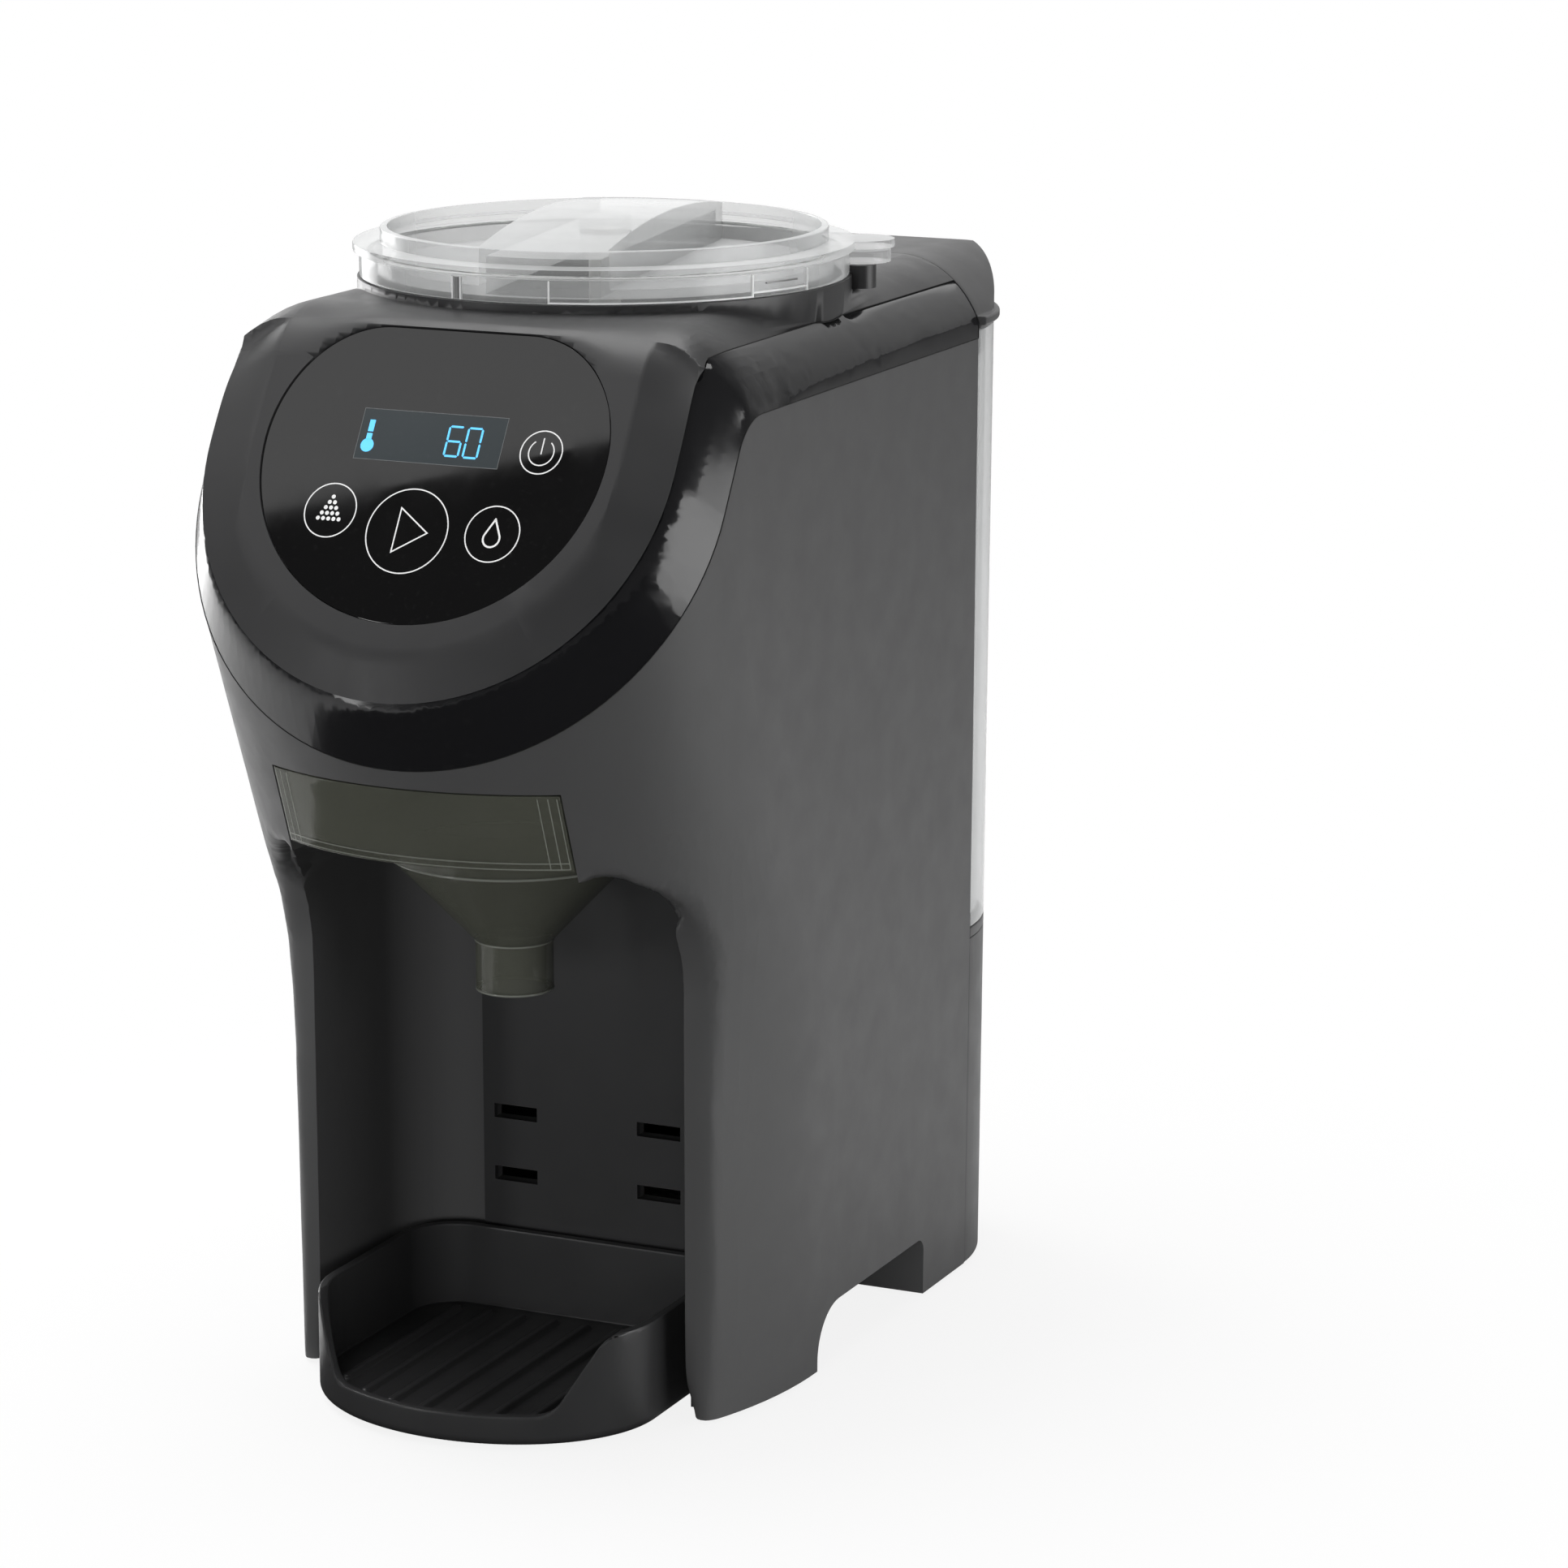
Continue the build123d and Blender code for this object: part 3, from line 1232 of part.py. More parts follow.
# ---- Tank valve ----
valve_bore_r = valve_r - valve_wall
valve_top_z = tank_floor_top + valve_plate_t
seat_z = valve_low_z + valve_plate_t
poppet_z = seat_z + 0.3
with BuildPart() as valve_body:
    rod(valve_r, valve_low_z, tank_floor_top, 0, valve_y)
    rod(valve_flange_r, tank_floor_top, valve_top_z, 0, valve_y)
    rod(valve_bore_r, seat_z, valve_top_z, 0, valve_y, Mode.SUBTRACT)
    rod(valve_hole_r, valve_low_z, seat_z, 0, valve_y, Mode.SUBTRACT)
    for turn in (0, 90):
        with BuildSketch(Plane.XY.offset(tank_floor_top)):
            with Locations((0, valve_y)):
                Rectangle(2 * valve_bore_r + 1, 2 * stem_r + 2, rotation=turn)
        extrude(amount=valve_plate_t)
    rod(stem_r + run_gap, tank_floor_top, valve_top_z, 0, valve_y, Mode.SUBTRACT)
valve_body.part.label = "valve_body"
export_step(valve_body.part, "parts/valve_body.step")

with BuildPart() as valve_poppet:
    rod(poppet_r, poppet_z, poppet_z + poppet_t, 0, valve_y)
    rod(valve_hole_r - 0.8, valve_low_z - 0.8, poppet_z, 0, valve_y)
    rod(stem_r, poppet_z, stem_top_z, 0, valve_y)
valve_poppet.part.label = "valve_poppet"
export_step(valve_poppet.part, "parts/valve_poppet.step")

spring_z = poppet_z + poppet_t + 2 * spring_wire_r
spring_h = tank_floor_top - 2 * spring_wire_r - spring_z
with BuildPart() as valve_spring:
    with BuildLine(Plane.XY.offset(spring_z)) as coil:
        Helix(spring_h / spring_turns, spring_h, spring_r, center=(0, valve_y, 0))
    with BuildSketch(Plane(origin=coil.line @ 0, z_dir=coil.line % 0)):
        Circle(spring_wire_r)
    sweep(path=coil.line, is_frenet=True)
valve_spring.part.label = "valve_spring"
export_step(valve_spring.part, "parts/valve_spring.step")

with BuildPart() as valve_seal:
    rod(socket_r - tank_gap, seat_z, seat_z + 3, 0, valve_y)
    rod(valve_r, seat_z, seat_z + 3, 0, valve_y, Mode.SUBTRACT)
valve_seal.part.label = "valve_seal"
export_step(valve_seal.part, "parts/valve_seal.step")

# ---- Pump, heater and hoses ----
base_top_z = base_z + base_t
with BuildPart() as water_pump:
    rod(pump_r, base_top_z, pump_top_z, pump_x, pump_y)
    rod(barb_r, pump_top_z, pump_top_z + barb_len, pump_x, pump_y)
    with Locations((pump_x + pump_r, pump_y, pump_out_z)):
        Cylinder(barb_r, 2 * barb_len, rotation=(0, 90, 0))
water_pump.part.label = "water_pump"
export_step(water_pump.part, "parts/water_pump.step")

with BuildPart() as water_heater:
    rod(heater_r, base_top_z, heater_top_z, heater_x, heater_y)
    rod(barb_r, heater_top_z, heater_top_z + barb_len, heater_x, heater_y)
    with Locations((heater_x - heater_r, heater_y, heater_in_z)):
        Cylinder(barb_r, 2 * barb_len, rotation=(0, 90, 0))
water_heater.part.label = "water_heater"
export_step(water_heater.part, "parts/water_heater.step")

with BuildPart() as heater_thermostat:
    rod(heater_r / 2, heater_top_z, heater_top_z + 4, heater_x, heater_y + heater_r / 2 + 4)
    rod(barb_r + hose_r, heater_top_z, heater_top_z + 4, heater_x, heater_y, Mode.SUBTRACT)
heater_thermostat.part.label = "heater_thermostat"
export_step(heater_thermostat.part, "parts/heater_thermostat.step")

socket_front_y = valve_y - socket_r - socket_wall
inlet_route = hose_line([
    (0, socket_front_y - hose_end, inlet_z),
    (0, pump_y + inlet_run, inlet_z),
    (pump_x, pump_y, inlet_z),
    (pump_x, pump_y, pump_top_z + hose_end),
])
with BuildPart() as inlet_hose:
    sweep(hose_ring(inlet_route), path=inlet_route)
inlet_hose.part.label = "inlet_hose"
export_step(inlet_hose.part, "parts/inlet_hose.step")

pump_route = hose_line([
    (pump_x + pump_r + hose_end, pump_y, pump_out_z),
    (pump_x + pump_r + 2 * hose_bend, pump_y, pump_out_z),
    (pump_x + pump_r + 2 * hose_bend, heater_y, heater_in_z),
    (heater_x - heater_r - hose_end, heater_y, heater_in_z),
])
with BuildPart() as pump_hose:
    sweep(hose_ring(pump_route), path=pump_route)
pump_hose.part.label = "pump_hose"
export_step(pump_hose.part, "parts/pump_hose.step")

outlet_route = hose_line([
    (heater_x, heater_y, heater_top_z + hose_end),
    (heater_x, heater_y, nozzle_z - 2 * hose_bend),
    (0, heater_y - outlet_run, nozzle_z),
    (0, nozzle_flange_y + hose_end, nozzle_z),
])
with BuildPart() as outlet_hose:
    sweep(hose_ring(outlet_route), path=outlet_route)
outlet_hose.part.label = "outlet_hose"
export_step(outlet_hose.part, "parts/outlet_hose.step")

# ---- Main board on the rear wall ----
with BuildPart() as main_board:
    bar((-main_board_half_w, main_board_y, main_board_low_z),
        (main_board_half_w, main_board_y + board_t, main_board_top_z))
    for side in sides:
        for z in (main_board_low_z + board_post_in, main_board_top_z - board_post_in):
            start = (side * (main_board_half_w - board_post_in), main_board_y + board_t, z)
            lying_rod(boss_r - 1, start, seam_y - wall)
    for (low_x, rise), (block_w, block_d, block_h) in ((supply_low, supply_size), (relay_low, relay_size)):
        low_z = main_board_low_z + rise
        bar((low_x, main_board_y - block_d, low_z), (low_x + block_w, main_board_y, low_z + block_h))
main_board.part.label = "main_board"
export_step(main_board.part, "parts/main_board.step")
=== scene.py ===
"""Looks of the baby formula maker: finishes, rounded edges, printed symbols and small moulded details."""

import json
from math import cos, exp, pi, radians, sin, sqrt, tan

import bmesh
import bpy
from mathutils import Matrix, Vector
from mathutils.bvhtree import BVHTree


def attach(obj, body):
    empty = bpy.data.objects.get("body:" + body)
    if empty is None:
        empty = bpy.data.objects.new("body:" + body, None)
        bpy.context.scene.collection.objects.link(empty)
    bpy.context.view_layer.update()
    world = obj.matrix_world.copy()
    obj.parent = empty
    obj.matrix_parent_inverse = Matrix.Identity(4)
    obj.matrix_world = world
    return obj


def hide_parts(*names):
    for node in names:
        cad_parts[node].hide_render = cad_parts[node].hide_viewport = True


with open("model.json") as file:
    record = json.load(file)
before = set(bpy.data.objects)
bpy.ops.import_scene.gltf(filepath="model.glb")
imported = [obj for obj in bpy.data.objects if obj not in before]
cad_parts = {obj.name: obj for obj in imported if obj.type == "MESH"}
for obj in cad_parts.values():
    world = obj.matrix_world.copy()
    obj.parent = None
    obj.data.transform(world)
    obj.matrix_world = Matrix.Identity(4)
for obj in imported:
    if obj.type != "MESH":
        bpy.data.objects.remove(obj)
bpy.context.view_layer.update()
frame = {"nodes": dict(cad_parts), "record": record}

mm = 0.001
body_of = {node: body for body, nodes in frame["record"]["behaviour"]["bodies"].items() for node in nodes}
slot_of = {row["node"]: row["material_slot"] for row in frame["record"]["subparts"]}

# ---- Camera ----
camera_turn = radians(24.622)
camera_dip = radians(13.054)
camera_place = (626.67 * mm, -1260.74 * mm, 478.85 * mm)
camera_lens = 120.40


def make_camera():
    """The camera at the height and distance that show the whole machine."""
    data = bpy.data.cameras.new("camera")
    data.lens = camera_lens
    data.sensor_width = 36.0
    data.clip_start = 0.05
    data.clip_end = 60.0
    camera = bpy.data.objects.new("camera", data)
    camera.location = camera_place
    camera.rotation_euler = (pi / 2 - camera_dip, 0.0, camera_turn)
    bpy.context.scene.collection.objects.link(camera)
    bpy.context.scene.camera = camera


# ---- Shader nodes ----
class Shading:
    """A material's node tree, with short calls for the nodes that the finishes share."""

    def __init__(self, name):
        self.material = bpy.data.materials.new(name)
        self.material.use_nodes = True
        self.tree = self.material.node_tree
        self.shader = self.tree.nodes["Principled BSDF"]
        self.place = self.node("ShaderNodeTexCoord").outputs["Object"]

    def node(self, kind, **settings):
        made = self.tree.nodes.new(kind)
        for key, value in settings.items():
            setattr(made, key, value)
        return made

    def join(self, output, socket):
        self.tree.links.new(output, socket)

    def set(self, **values):
        for key, value in values.items():
            self.shader.inputs[key.replace("_", " ")].default_value = value

    def stretched(self, scale):
        """Object coordinates scaled along each axis."""
        mapping = self.node("ShaderNodeMapping")
        mapping.inputs["Scale"].default_value = scale
        self.join(self.place, mapping.inputs["Vector"])
        return mapping.outputs["Vector"]

    def noise(self, size, detail=2.0, place=None):
        """Soft noise whose blotches measure size metres."""
        texture = self.node("ShaderNodeTexNoise")
        texture.inputs["Scale"].default_value = 1.0 / size
        texture.inputs["Detail"].default_value = detail
        self.join(place or self.place, texture.inputs["Vector"])
        return texture.outputs["Fac"]

    def cells(self, size):
        """Rounded cells, as spark-eroded tools leave on plastic."""
        texture = self.node("ShaderNodeTexVoronoi", feature="SMOOTH_F1")
        texture.inputs["Scale"].default_value = 1.0 / size
        self.join(self.place, texture.inputs["Vector"])
        return texture.outputs["Distance"]

    def ramp(self, source, low, high, low_out=0.0, high_out=1.0):
        """source from low to high becomes low_out to high_out."""
        mapped = self.node("ShaderNodeMapRange")
        for key, value in (("From Min", low), ("From Max", high), ("To Min", low_out), ("To Max", high_out)):
            mapped.inputs[key].default_value = value
        self.join(source, mapped.inputs["Value"])
        return mapped.outputs["Result"]

    def blend(self, factor, first, second):
        """Mix of two colours."""
        mix = self.node("ShaderNodeMix", data_type="RGBA")
        mix.inputs["A"].default_value = (*first, 1.0)
        mix.inputs["B"].default_value = (*second, 1.0)
        self.join(factor, mix.inputs["Factor"])
        return mix.outputs["Result"]

    def sum(self, first, second, share):
        """first plus share times second."""
        scaled = self.node("ShaderNodeMath", operation="MULTIPLY_ADD")
        scaled.inputs[1].default_value = share
        self.join(second, scaled.inputs[0])
        self.join(first, scaled.inputs[2])
        return scaled.outputs["Value"]

    def relief(self, height, depth):
        """Bump of a depth in metres."""
        bump = self.node("ShaderNodeBump")
        bump.inputs["Distance"].default_value = depth
        self.join(height, bump.inputs["Height"])
        self.join(bump.outputs["Normal"], self.shader.inputs["Normal"])

    def facing(self):
        """0 where a surface faces the viewer, 1 at its rim."""
        weight = self.node("ShaderNodeLayerWeight")
        weight.inputs["Blend"].default_value = 0.5
        return weight.outputs["Facing"]


def tinted(colour, share):
    """A colour made darker or lighter, no brighter than white."""
    return tuple(min(1.0, value * share) for value in colour)


def moulded_plastic(name, colour, roughness, grain, depth, cloud=0.06):
    """Spark-eroded plastic: fine cells, soft clouds of tone and a few duller patches."""
    look = Shading(name)
    clouds = look.noise(0.045, 3.0)
    tone = look.blend(clouds, tinted(colour, 1 - cloud), tinted(colour, 1 + cloud))
    look.join(tone, look.shader.inputs["Base Color"])
    patches = look.noise(0.012, 4.0)
    dullness = look.ramp(patches, 0.3, 0.7, roughness - 0.04, roughness + 0.05)
    look.join(dullness, look.shader.inputs["Roughness"])
    look.relief(look.sum(look.noise(grain * 2.7, 2.0), look.cells(grain), 0.6), depth)
    look.set(IOR=1.49)
    return look.material


def polished_plastic(name, colour, roughness, wave=0.000006):
    """Glossy plastic with a faint orange peel and a film of fine dust."""
    look = Shading(name)
    dust = look.ramp(look.noise(0.0016, 5.0), 0.60, 0.78, 0.0, 1.0)
    tone = look.blend(dust, colour, tuple(value + 0.006 for value in colour))
    look.join(tone, look.shader.inputs["Base Color"])
    smears = look.noise(0.018, 3.0)
    look.join(look.ramp(smears, 0.35, 0.75, roughness, roughness + 0.05), look.shader.inputs["Roughness"])
    look.relief(look.noise(0.006, 1.0), wave)
    look.set(IOR=1.52)
    return look.material


def see_through(name, colour, roughness, body, rim, frost):
    """Clear plastic: body is how solid it looks face on, rim how solid at its edges."""
    look = Shading(name)
    haze = look.noise(0.02, 3.0)
    tone = look.blend(haze, tinted(colour, 0.95), tinted(colour, 1.04))
    look.join(tone, look.shader.inputs["Base Color"])
    edge = look.node("ShaderNodeMath", operation="POWER")
    edge.inputs[1].default_value = 2.2
    look.join(look.facing(), edge.inputs[0])
    solid = look.ramp(edge.outputs["Value"], 0.0, 1.0, body, rim)
    look.join(look.sum(solid, look.ramp(haze, 0.3, 0.7, -0.5, 0.5), frost), look.shader.inputs["Alpha"])
    look.join(look.ramp(haze, 0.3, 0.7, roughness, roughness + 0.06), look.shader.inputs["Roughness"])
    look.relief(look.noise(0.004, 2.0), 0.000008)
    look.set(IOR=1.5)
    return look.material


def rubber(name, colour, roughness=0.7):
    """Soft rubber with a powdery bloom."""
    look = Shading(name)
    bloom = look.noise(0.008, 4.0)
    look.join(look.blend(bloom, tinted(colour, 0.8), tinted(colour, 1.25)), look.shader.inputs["Base Color"])
    look.join(look.ramp(bloom, 0.3, 0.7, roughness - 0.08, roughness + 0.08), look.shader.inputs["Roughness"])
    look.relief(look.noise(0.0005, 2.0), 0.00001)
    return look.material


def turned_metal(name, colour, roughness, grain=(1.0, 1.0, 40.0), depth=0.000004):
    """Metal with fine tool marks across one axis and a few dull stains."""
    look = Shading(name)
    marks = look.noise(0.004, 3.0, look.stretched(grain))
    stains = look.noise(0.015, 3.0)
    tone = look.blend(stains, tinted(colour, 0.86), tinted(colour, 1.05))
    look.join(tone, look.shader.inputs["Base Color"])
    look.join(look.ramp(marks, 0.2, 0.8, roughness - 0.07, roughness + 0.1), look.shader.inputs["Roughness"])
    look.relief(marks, depth)
    look.set(Metallic=1.0)
    return look.material


def solder_mask(name):
    """Green board with copper tracks showing as raised lines."""
    look = Shading(name)
    tracks = look.node("ShaderNodeTexBrick", offset=0.5)
    tracks.inputs["Scale"].default_value = 120.0
    tracks.inputs["Mortar Size"].default_value = 0.012
    tracks.inputs["Color1"].default_value = (0.012, 0.085, 0.035, 1.0)
    tracks.inputs["Color2"].default_value = (0.014, 0.11, 0.045, 1.0)
    tracks.inputs["Mortar"].default_value = (0.03, 0.19, 0.08, 1.0)
    look.join(look.stretched((1.0, 1.0, 1.0)), tracks.inputs["Vector"])
    look.join(tracks.outputs["Color"], look.shader.inputs["Base Color"])
    look.relief(tracks.outputs["Fac"], 0.00003)
    look.set(Roughness=0.32, IOR=1.5)
    return look.material


def printed(name, colour, glow):
    """Screen-printed ink, lit from behind where glow is over 0."""
    look = Shading(name)
    speck = look.noise(0.0005, 2.0)
    tone = look.blend(speck, tinted(colour, 0.92), tinted(colour, 1.06))
    look.join(tone, look.shader.inputs["Base Color"])
    look.set(Roughness=0.5)
    if glow:
        look.set(Emission_Strength=glow)
        look.shader.inputs["Emission Color"].default_value = (*colour, 1.0)
    return look.material


def make_finishes():
    """One material for each of the record's slots."""
    return {
        "shell_plastic": moulded_plastic(
            "charcoal shell", (0.074, 0.074, 0.075), 0.46, 0.00040, 0.000010, 0.025),
        "cover_plastic": moulded_plastic(
            "graphite cover", (0.029, 0.029, 0.030), 0.38, 0.00034, 0.000006, 0.03),
        "tray_plastic": moulded_plastic("black tray", (0.034, 0.034, 0.035), 0.36, 0.00045, 0.000007),
        "inner_grey": moulded_plastic("inner grey", (0.18, 0.18, 0.19), 0.55, 0.0006, 0.000012),
        "white_plastic": moulded_plastic("natural white", (0.68, 0.68, 0.66), 0.42, 0.0007, 0.000008, 0.03),
        "band_gloss": polished_plastic("gloss band", (0.009, 0.009, 0.010), 0.13),
        "lens_black": polished_plastic("black lens", (0.0012, 0.0011, 0.0013), 0.02, 0.0000004),
        "lcd": polished_plastic("display module", (0.02, 0.03, 0.035), 0.2),
        "clear_plastic": see_through("clear frosted", (0.72, 0.73, 0.73), 0.12, 0.20, 0.86, 0.03),
        "smoke_plastic": see_through("smoke tint", (0.135, 0.140, 0.112), 0.05, 0.40, 0.90, 0.03),
        "seal_rubber": rubber("seal rubber", (0.62, 0.63, 0.62), 0.5),
        "black_rubber": rubber("black rubber", (0.022, 0.022, 0.022)),
        "hose_silicone": rubber("milky silicone", (0.70, 0.71, 0.68), 0.35),
        "steel": turned_metal("turned steel", (0.62, 0.62, 0.63), 0.28),
        "brass": turned_metal("turned brass", (0.78, 0.56, 0.25), 0.30),
        "motor_steel": turned_metal("zinc plate", (0.55, 0.56, 0.58), 0.38, (4.0, 4.0, 4.0)),
        "heater_alu": turned_metal("cast aluminium", (0.72, 0.73, 0.74), 0.45, (3.0, 3.0, 3.0), 0.00002),
        "board_green": solder_mask("solder mask"),
    }


def make_inks():
    """Prints, the painted shadow in a seam, and the painted highlights and painted shade on the edges of
    see-through plastic.
    """
    return {
        "white": printed("white print", (0.78, 0.78, 0.78), 0.25),
        "grey": printed("grey print", (0.16, 0.17, 0.175), 0.0),
        "blue": printed("display light", (0.10, 0.47, 0.82), 0.85),
        "gap": rubber("gap shadow", (0.006, 0.006, 0.006), 0.8),
        # painted highlight on the edges of the smoky panel and on the lips of its spout
        "smoke_highlight": polished_plastic("smoke highlight", (0.21, 0.22, 0.195), 0.12),
        # the next two are painted highlight and painted shade on the clear container's rim
        "clear_highlight": polished_plastic("clear highlight", (0.80, 0.81, 0.81), 0.14),
        "clear_shade": polished_plastic("clear shade", (0.20, 0.20, 0.20), 0.2),
    }


# ---- Meshes ----
weld = 0.002 * mm
flat_angle = radians(0.05)
soft_angle = radians(32.0)
edge_crease = radians(35.0)
cut_snap = 0.01 * mm


def piece_from(form, name, material, body):
    """A bmesh becomes a named piece that rides on a body."""
    mesh = bpy.data.meshes.new(name)
    form.to_mesh(mesh)
    form.free()
    mesh.materials.append(material)
    piece = bpy.data.objects.new(name, mesh)
    bpy.context.scene.collection.objects.link(piece)
    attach(piece, body)
    return piece


def smooth(piece):
    """Soft shading with creases where faces meet at more than the soft angle."""
    piece.data.polygons.foreach_set("use_smooth", [True] * len(piece.data.polygons))
    piece.data.set_sharp_from_angle(angle=soft_angle)


def merged_copy(node):
    """A CAD node's mesh with its loose triangles joined and its flats made whole."""
    form = bmesh.new()
    form.from_mesh(frame["nodes"][node].data)
    bmesh.ops.remove_doubles(form, verts=form.verts, dist=weld)
    bmesh.ops.dissolve_limit(form, angle_limit=flat_angle, verts=form.verts, edges=form.edges)
    return form


def stand_in(form, node):
    """The form becomes the piece that stands for a node, with even shading on its flats."""
    piece = piece_from(form, node + "_moulding", finishes[slot_of[node]], body_of[node])
    smooth(piece)
    shading = piece.modifiers.new("even_shading", "WEIGHTED_NORMAL")
    shading.keep_sharp = True
    shading.weight = 60
    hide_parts(node)
    return piece


def rounded(node, edge):
    """A node with its sharp edges rounded by edge."""
    form = merged_copy(node)
    sharp = [e for e in form.edges if len(e.link_faces) == 2 and e.calc_face_angle() > edge_crease]
    bmesh.ops.bevel(form, geom=sharp, offset=edge, offset_type="OFFSET", affect="EDGES",
                    segments=2, profile=0.5, material=-1, clamp_overlap=False)
    return stand_in(form, node)


# ---- Bay mouth: the legs' front edges and the soffit roll softly into the sides ----
mouth_front_y = -76.2 * mm
mouth_bow_r = 36.0 * mm
mouth_bow_z = 118.0 * mm
mouth_top_z = 166.0 * mm
mouth_rear_y = -58.0 * mm
slot_side_x = 42.3 * mm
foot_z = 1.3 * mm
front_slack = 0.06 * mm
bow_slack = 0.12 * mm
soffit_normal_z = -0.95
mouth_cuts = (  # normal, first, last, pitch
    ((0, 0, 1), 2.5 * mm, mouth_top_z, 2.5 * mm),
    ((1, 0, 0), 43.5 * mm, 66 * mm, 1.6 * mm),
    ((-1, 0, 0), 43.5 * mm, 66 * mm, 1.6 * mm),
    ((0, -1, 0), 62 * mm, 112 * mm, 1.8 * mm),
)
roll_steps = ((1.6 * mm, 16), (3.2 * mm, 12), (4.8 * mm, 8), (6.5 * mm, 4))  # reach, rounds


def on_mouth_face(face):
    """Whether a face lies on the flat fronts of the legs or on the bow above them."""
    middle = face.calc_center_median()
    if middle.z < mouth_bow_z:
        return abs(middle.y - mouth_front_y) < front_slack
    reach = Vector((middle.y - mouth_front_y + mouth_bow_r, middle.z - mouth_bow_z)).length
    return abs(reach - mouth_bow_r) < bow_slack


def cut_finely(form, faces, normal, first, last, pitch):
    """Level cuts through some faces at an even pitch."""
    for step in range(int((last - first) / pitch) + 1):
        at = first + step * pitch
        verts = {vert for face in faces for vert in face.verts}
        edges = {edge for face in faces for edge in face.edges}
        cut = bmesh.ops.bisect_plane(form, geom=[*verts, *edges, *faces], dist=cut_snap,
                                     plane_co=Vector(normal) * at, plane_no=normal)
        faces = [item for item in cut["geom"] if isinstance(item, bmesh.types.BMFace)]
    return faces


def near_by(seeds, reach):
    """Vertices within a distance of the seeds, measured along the edges, with that distance."""
    found = {vert: 0.0 for vert in seeds}
    front = list(seeds)
    while front:
        after = []
        for vert in front:
            for edge in vert.link_edges:
                other = edge.other_vert(vert)
                away = found[vert] + edge.calc_length()
                if away < reach and away < found.get(other, reach):
                    found[other] = away
                    after.append(other)
        front = after
    return found


def smoothed(form, verts, upright=True):
    """One round of smoothing, kept level where upright is off."""
    bmesh.ops.smooth_vert(form, verts=verts, factor=0.5, use_axis_x=True, use_axis_y=True, use_axis_z=upright)


def outer_shell_moulding():
    """The shell with small rounded edges all over and a wide soft roll round the bay's mouth."""
    form = merged_copy("outer_shell")
    outer = [f for f in form.faces if all(v.co.y < mouth_rear_y and v.co.z < mouth_top_z for v in f.verts)]
    for normal, first, last, pitch in mouth_cuts:
        outer = cut_finely(form, outer, normal, first, last, pitch)
    rim = {v for f in form.faces if on_mouth_face(f) for v in f.verts if abs(v.co.x) > slot_side_x}
    rim = {v for v in rim if any(not on_mouth_face(f) and f.normal.z > soffit_normal_z for f in v.link_faces)}
    reached = near_by(rim, roll_steps[-1][0])
    for reach, rounds in roll_steps:
        inside = [v for v, away in reached.items() if away <= reach and abs(v.co.x) > slot_side_x]
        feet = [v for v in inside if v.co.z < foot_z]
        above = [v for v in inside if v.co.z >= foot_z]
        for turn in range(rounds):
            smoothed(form, above)
            smoothed(form, feet, upright=False)
    return stand_in(form, "outer_shell")


# ---- Brow: the face rolls over into the deck, and the ridges of cover and band run softly ----
face_tilt = radians(31.0)
deck_z = 293.0 * mm
brow_y = -87.2 * mm
shoulder_x = 49.4 * mm
shoulder_w = 26.6 * mm
shoulder_h = 31.0 * mm
shoulder_share = 0.985  # short of the shoulder's end, where it stands upright
roll_on_deck = 15.0 * mm
roll_on_face = (4.0 * mm, 13.0 * mm)
roll_widens = (28.0 * mm, 48.0 * mm)
roll_ends_x = 72.0 * mm
roll_fade = 20.0 * mm
seam_line = 0.16 * mm
shortest_edge = 0.01 * mm
shortest_run = 6
skin_crease = radians(66.0)
lens_clear_x = 52.0 * mm
lens_clear_z = 287.0 * mm
level_normal_z = 0.995
hidden_z = 288.0 * mm  # level faces lower than this are left out of the skin
brow_rear_y = -52.0 * mm
half_turn = (pi / 2 - face_tilt) / 2
brow_way = (0.0, cos(half_turn), sin(half_turn))
brow_at = brow_y * cos(half_turn) + deck_z * sin(half_turn)
corner_place = (64.5 * mm, -89.5 * mm, 284.0 * mm)
corner_way = (-0.62, 0.36, -0.70)
corner_drop = 1.6 * mm
corner_reach = 8.0 * mm
fine_pitch = 1.3 * mm
over_lens = (brow_at - 12 * mm, brow_at + 14 * mm)
over_lens_x = 48 * mm
over_lens_pitch = 4.0 * mm
side_cuts = (  # normal, first, last, pitch
    (brow_way, brow_at - 30 * mm, brow_at + 15 * mm, fine_pitch),
    ((1, 0, 0), -76 * mm, 76 * mm, 2.4 * mm),
    ((0, 0, 1), 196 * mm, 284 * mm, 2.4 * mm),
)
ridge_angle = radians(7)
ridge_steps = ((2.0 * mm, 10), (4.0 * mm, 8), (7.0 * mm, 6))  # reach, rounds
cover_seed = (0.0, -68.0 * mm, deck_z)
cover_margin = 2.4 * mm
band_seed = (70.6 * mm, -85.5 * mm, 275.5 * mm)
band_margin = 0.3 * mm


def eased(share):
    """0 to 1 with a soft start and end."""
    share = min(1.0, max(0.0, share))
    return share * share * (3 - 2 * share)


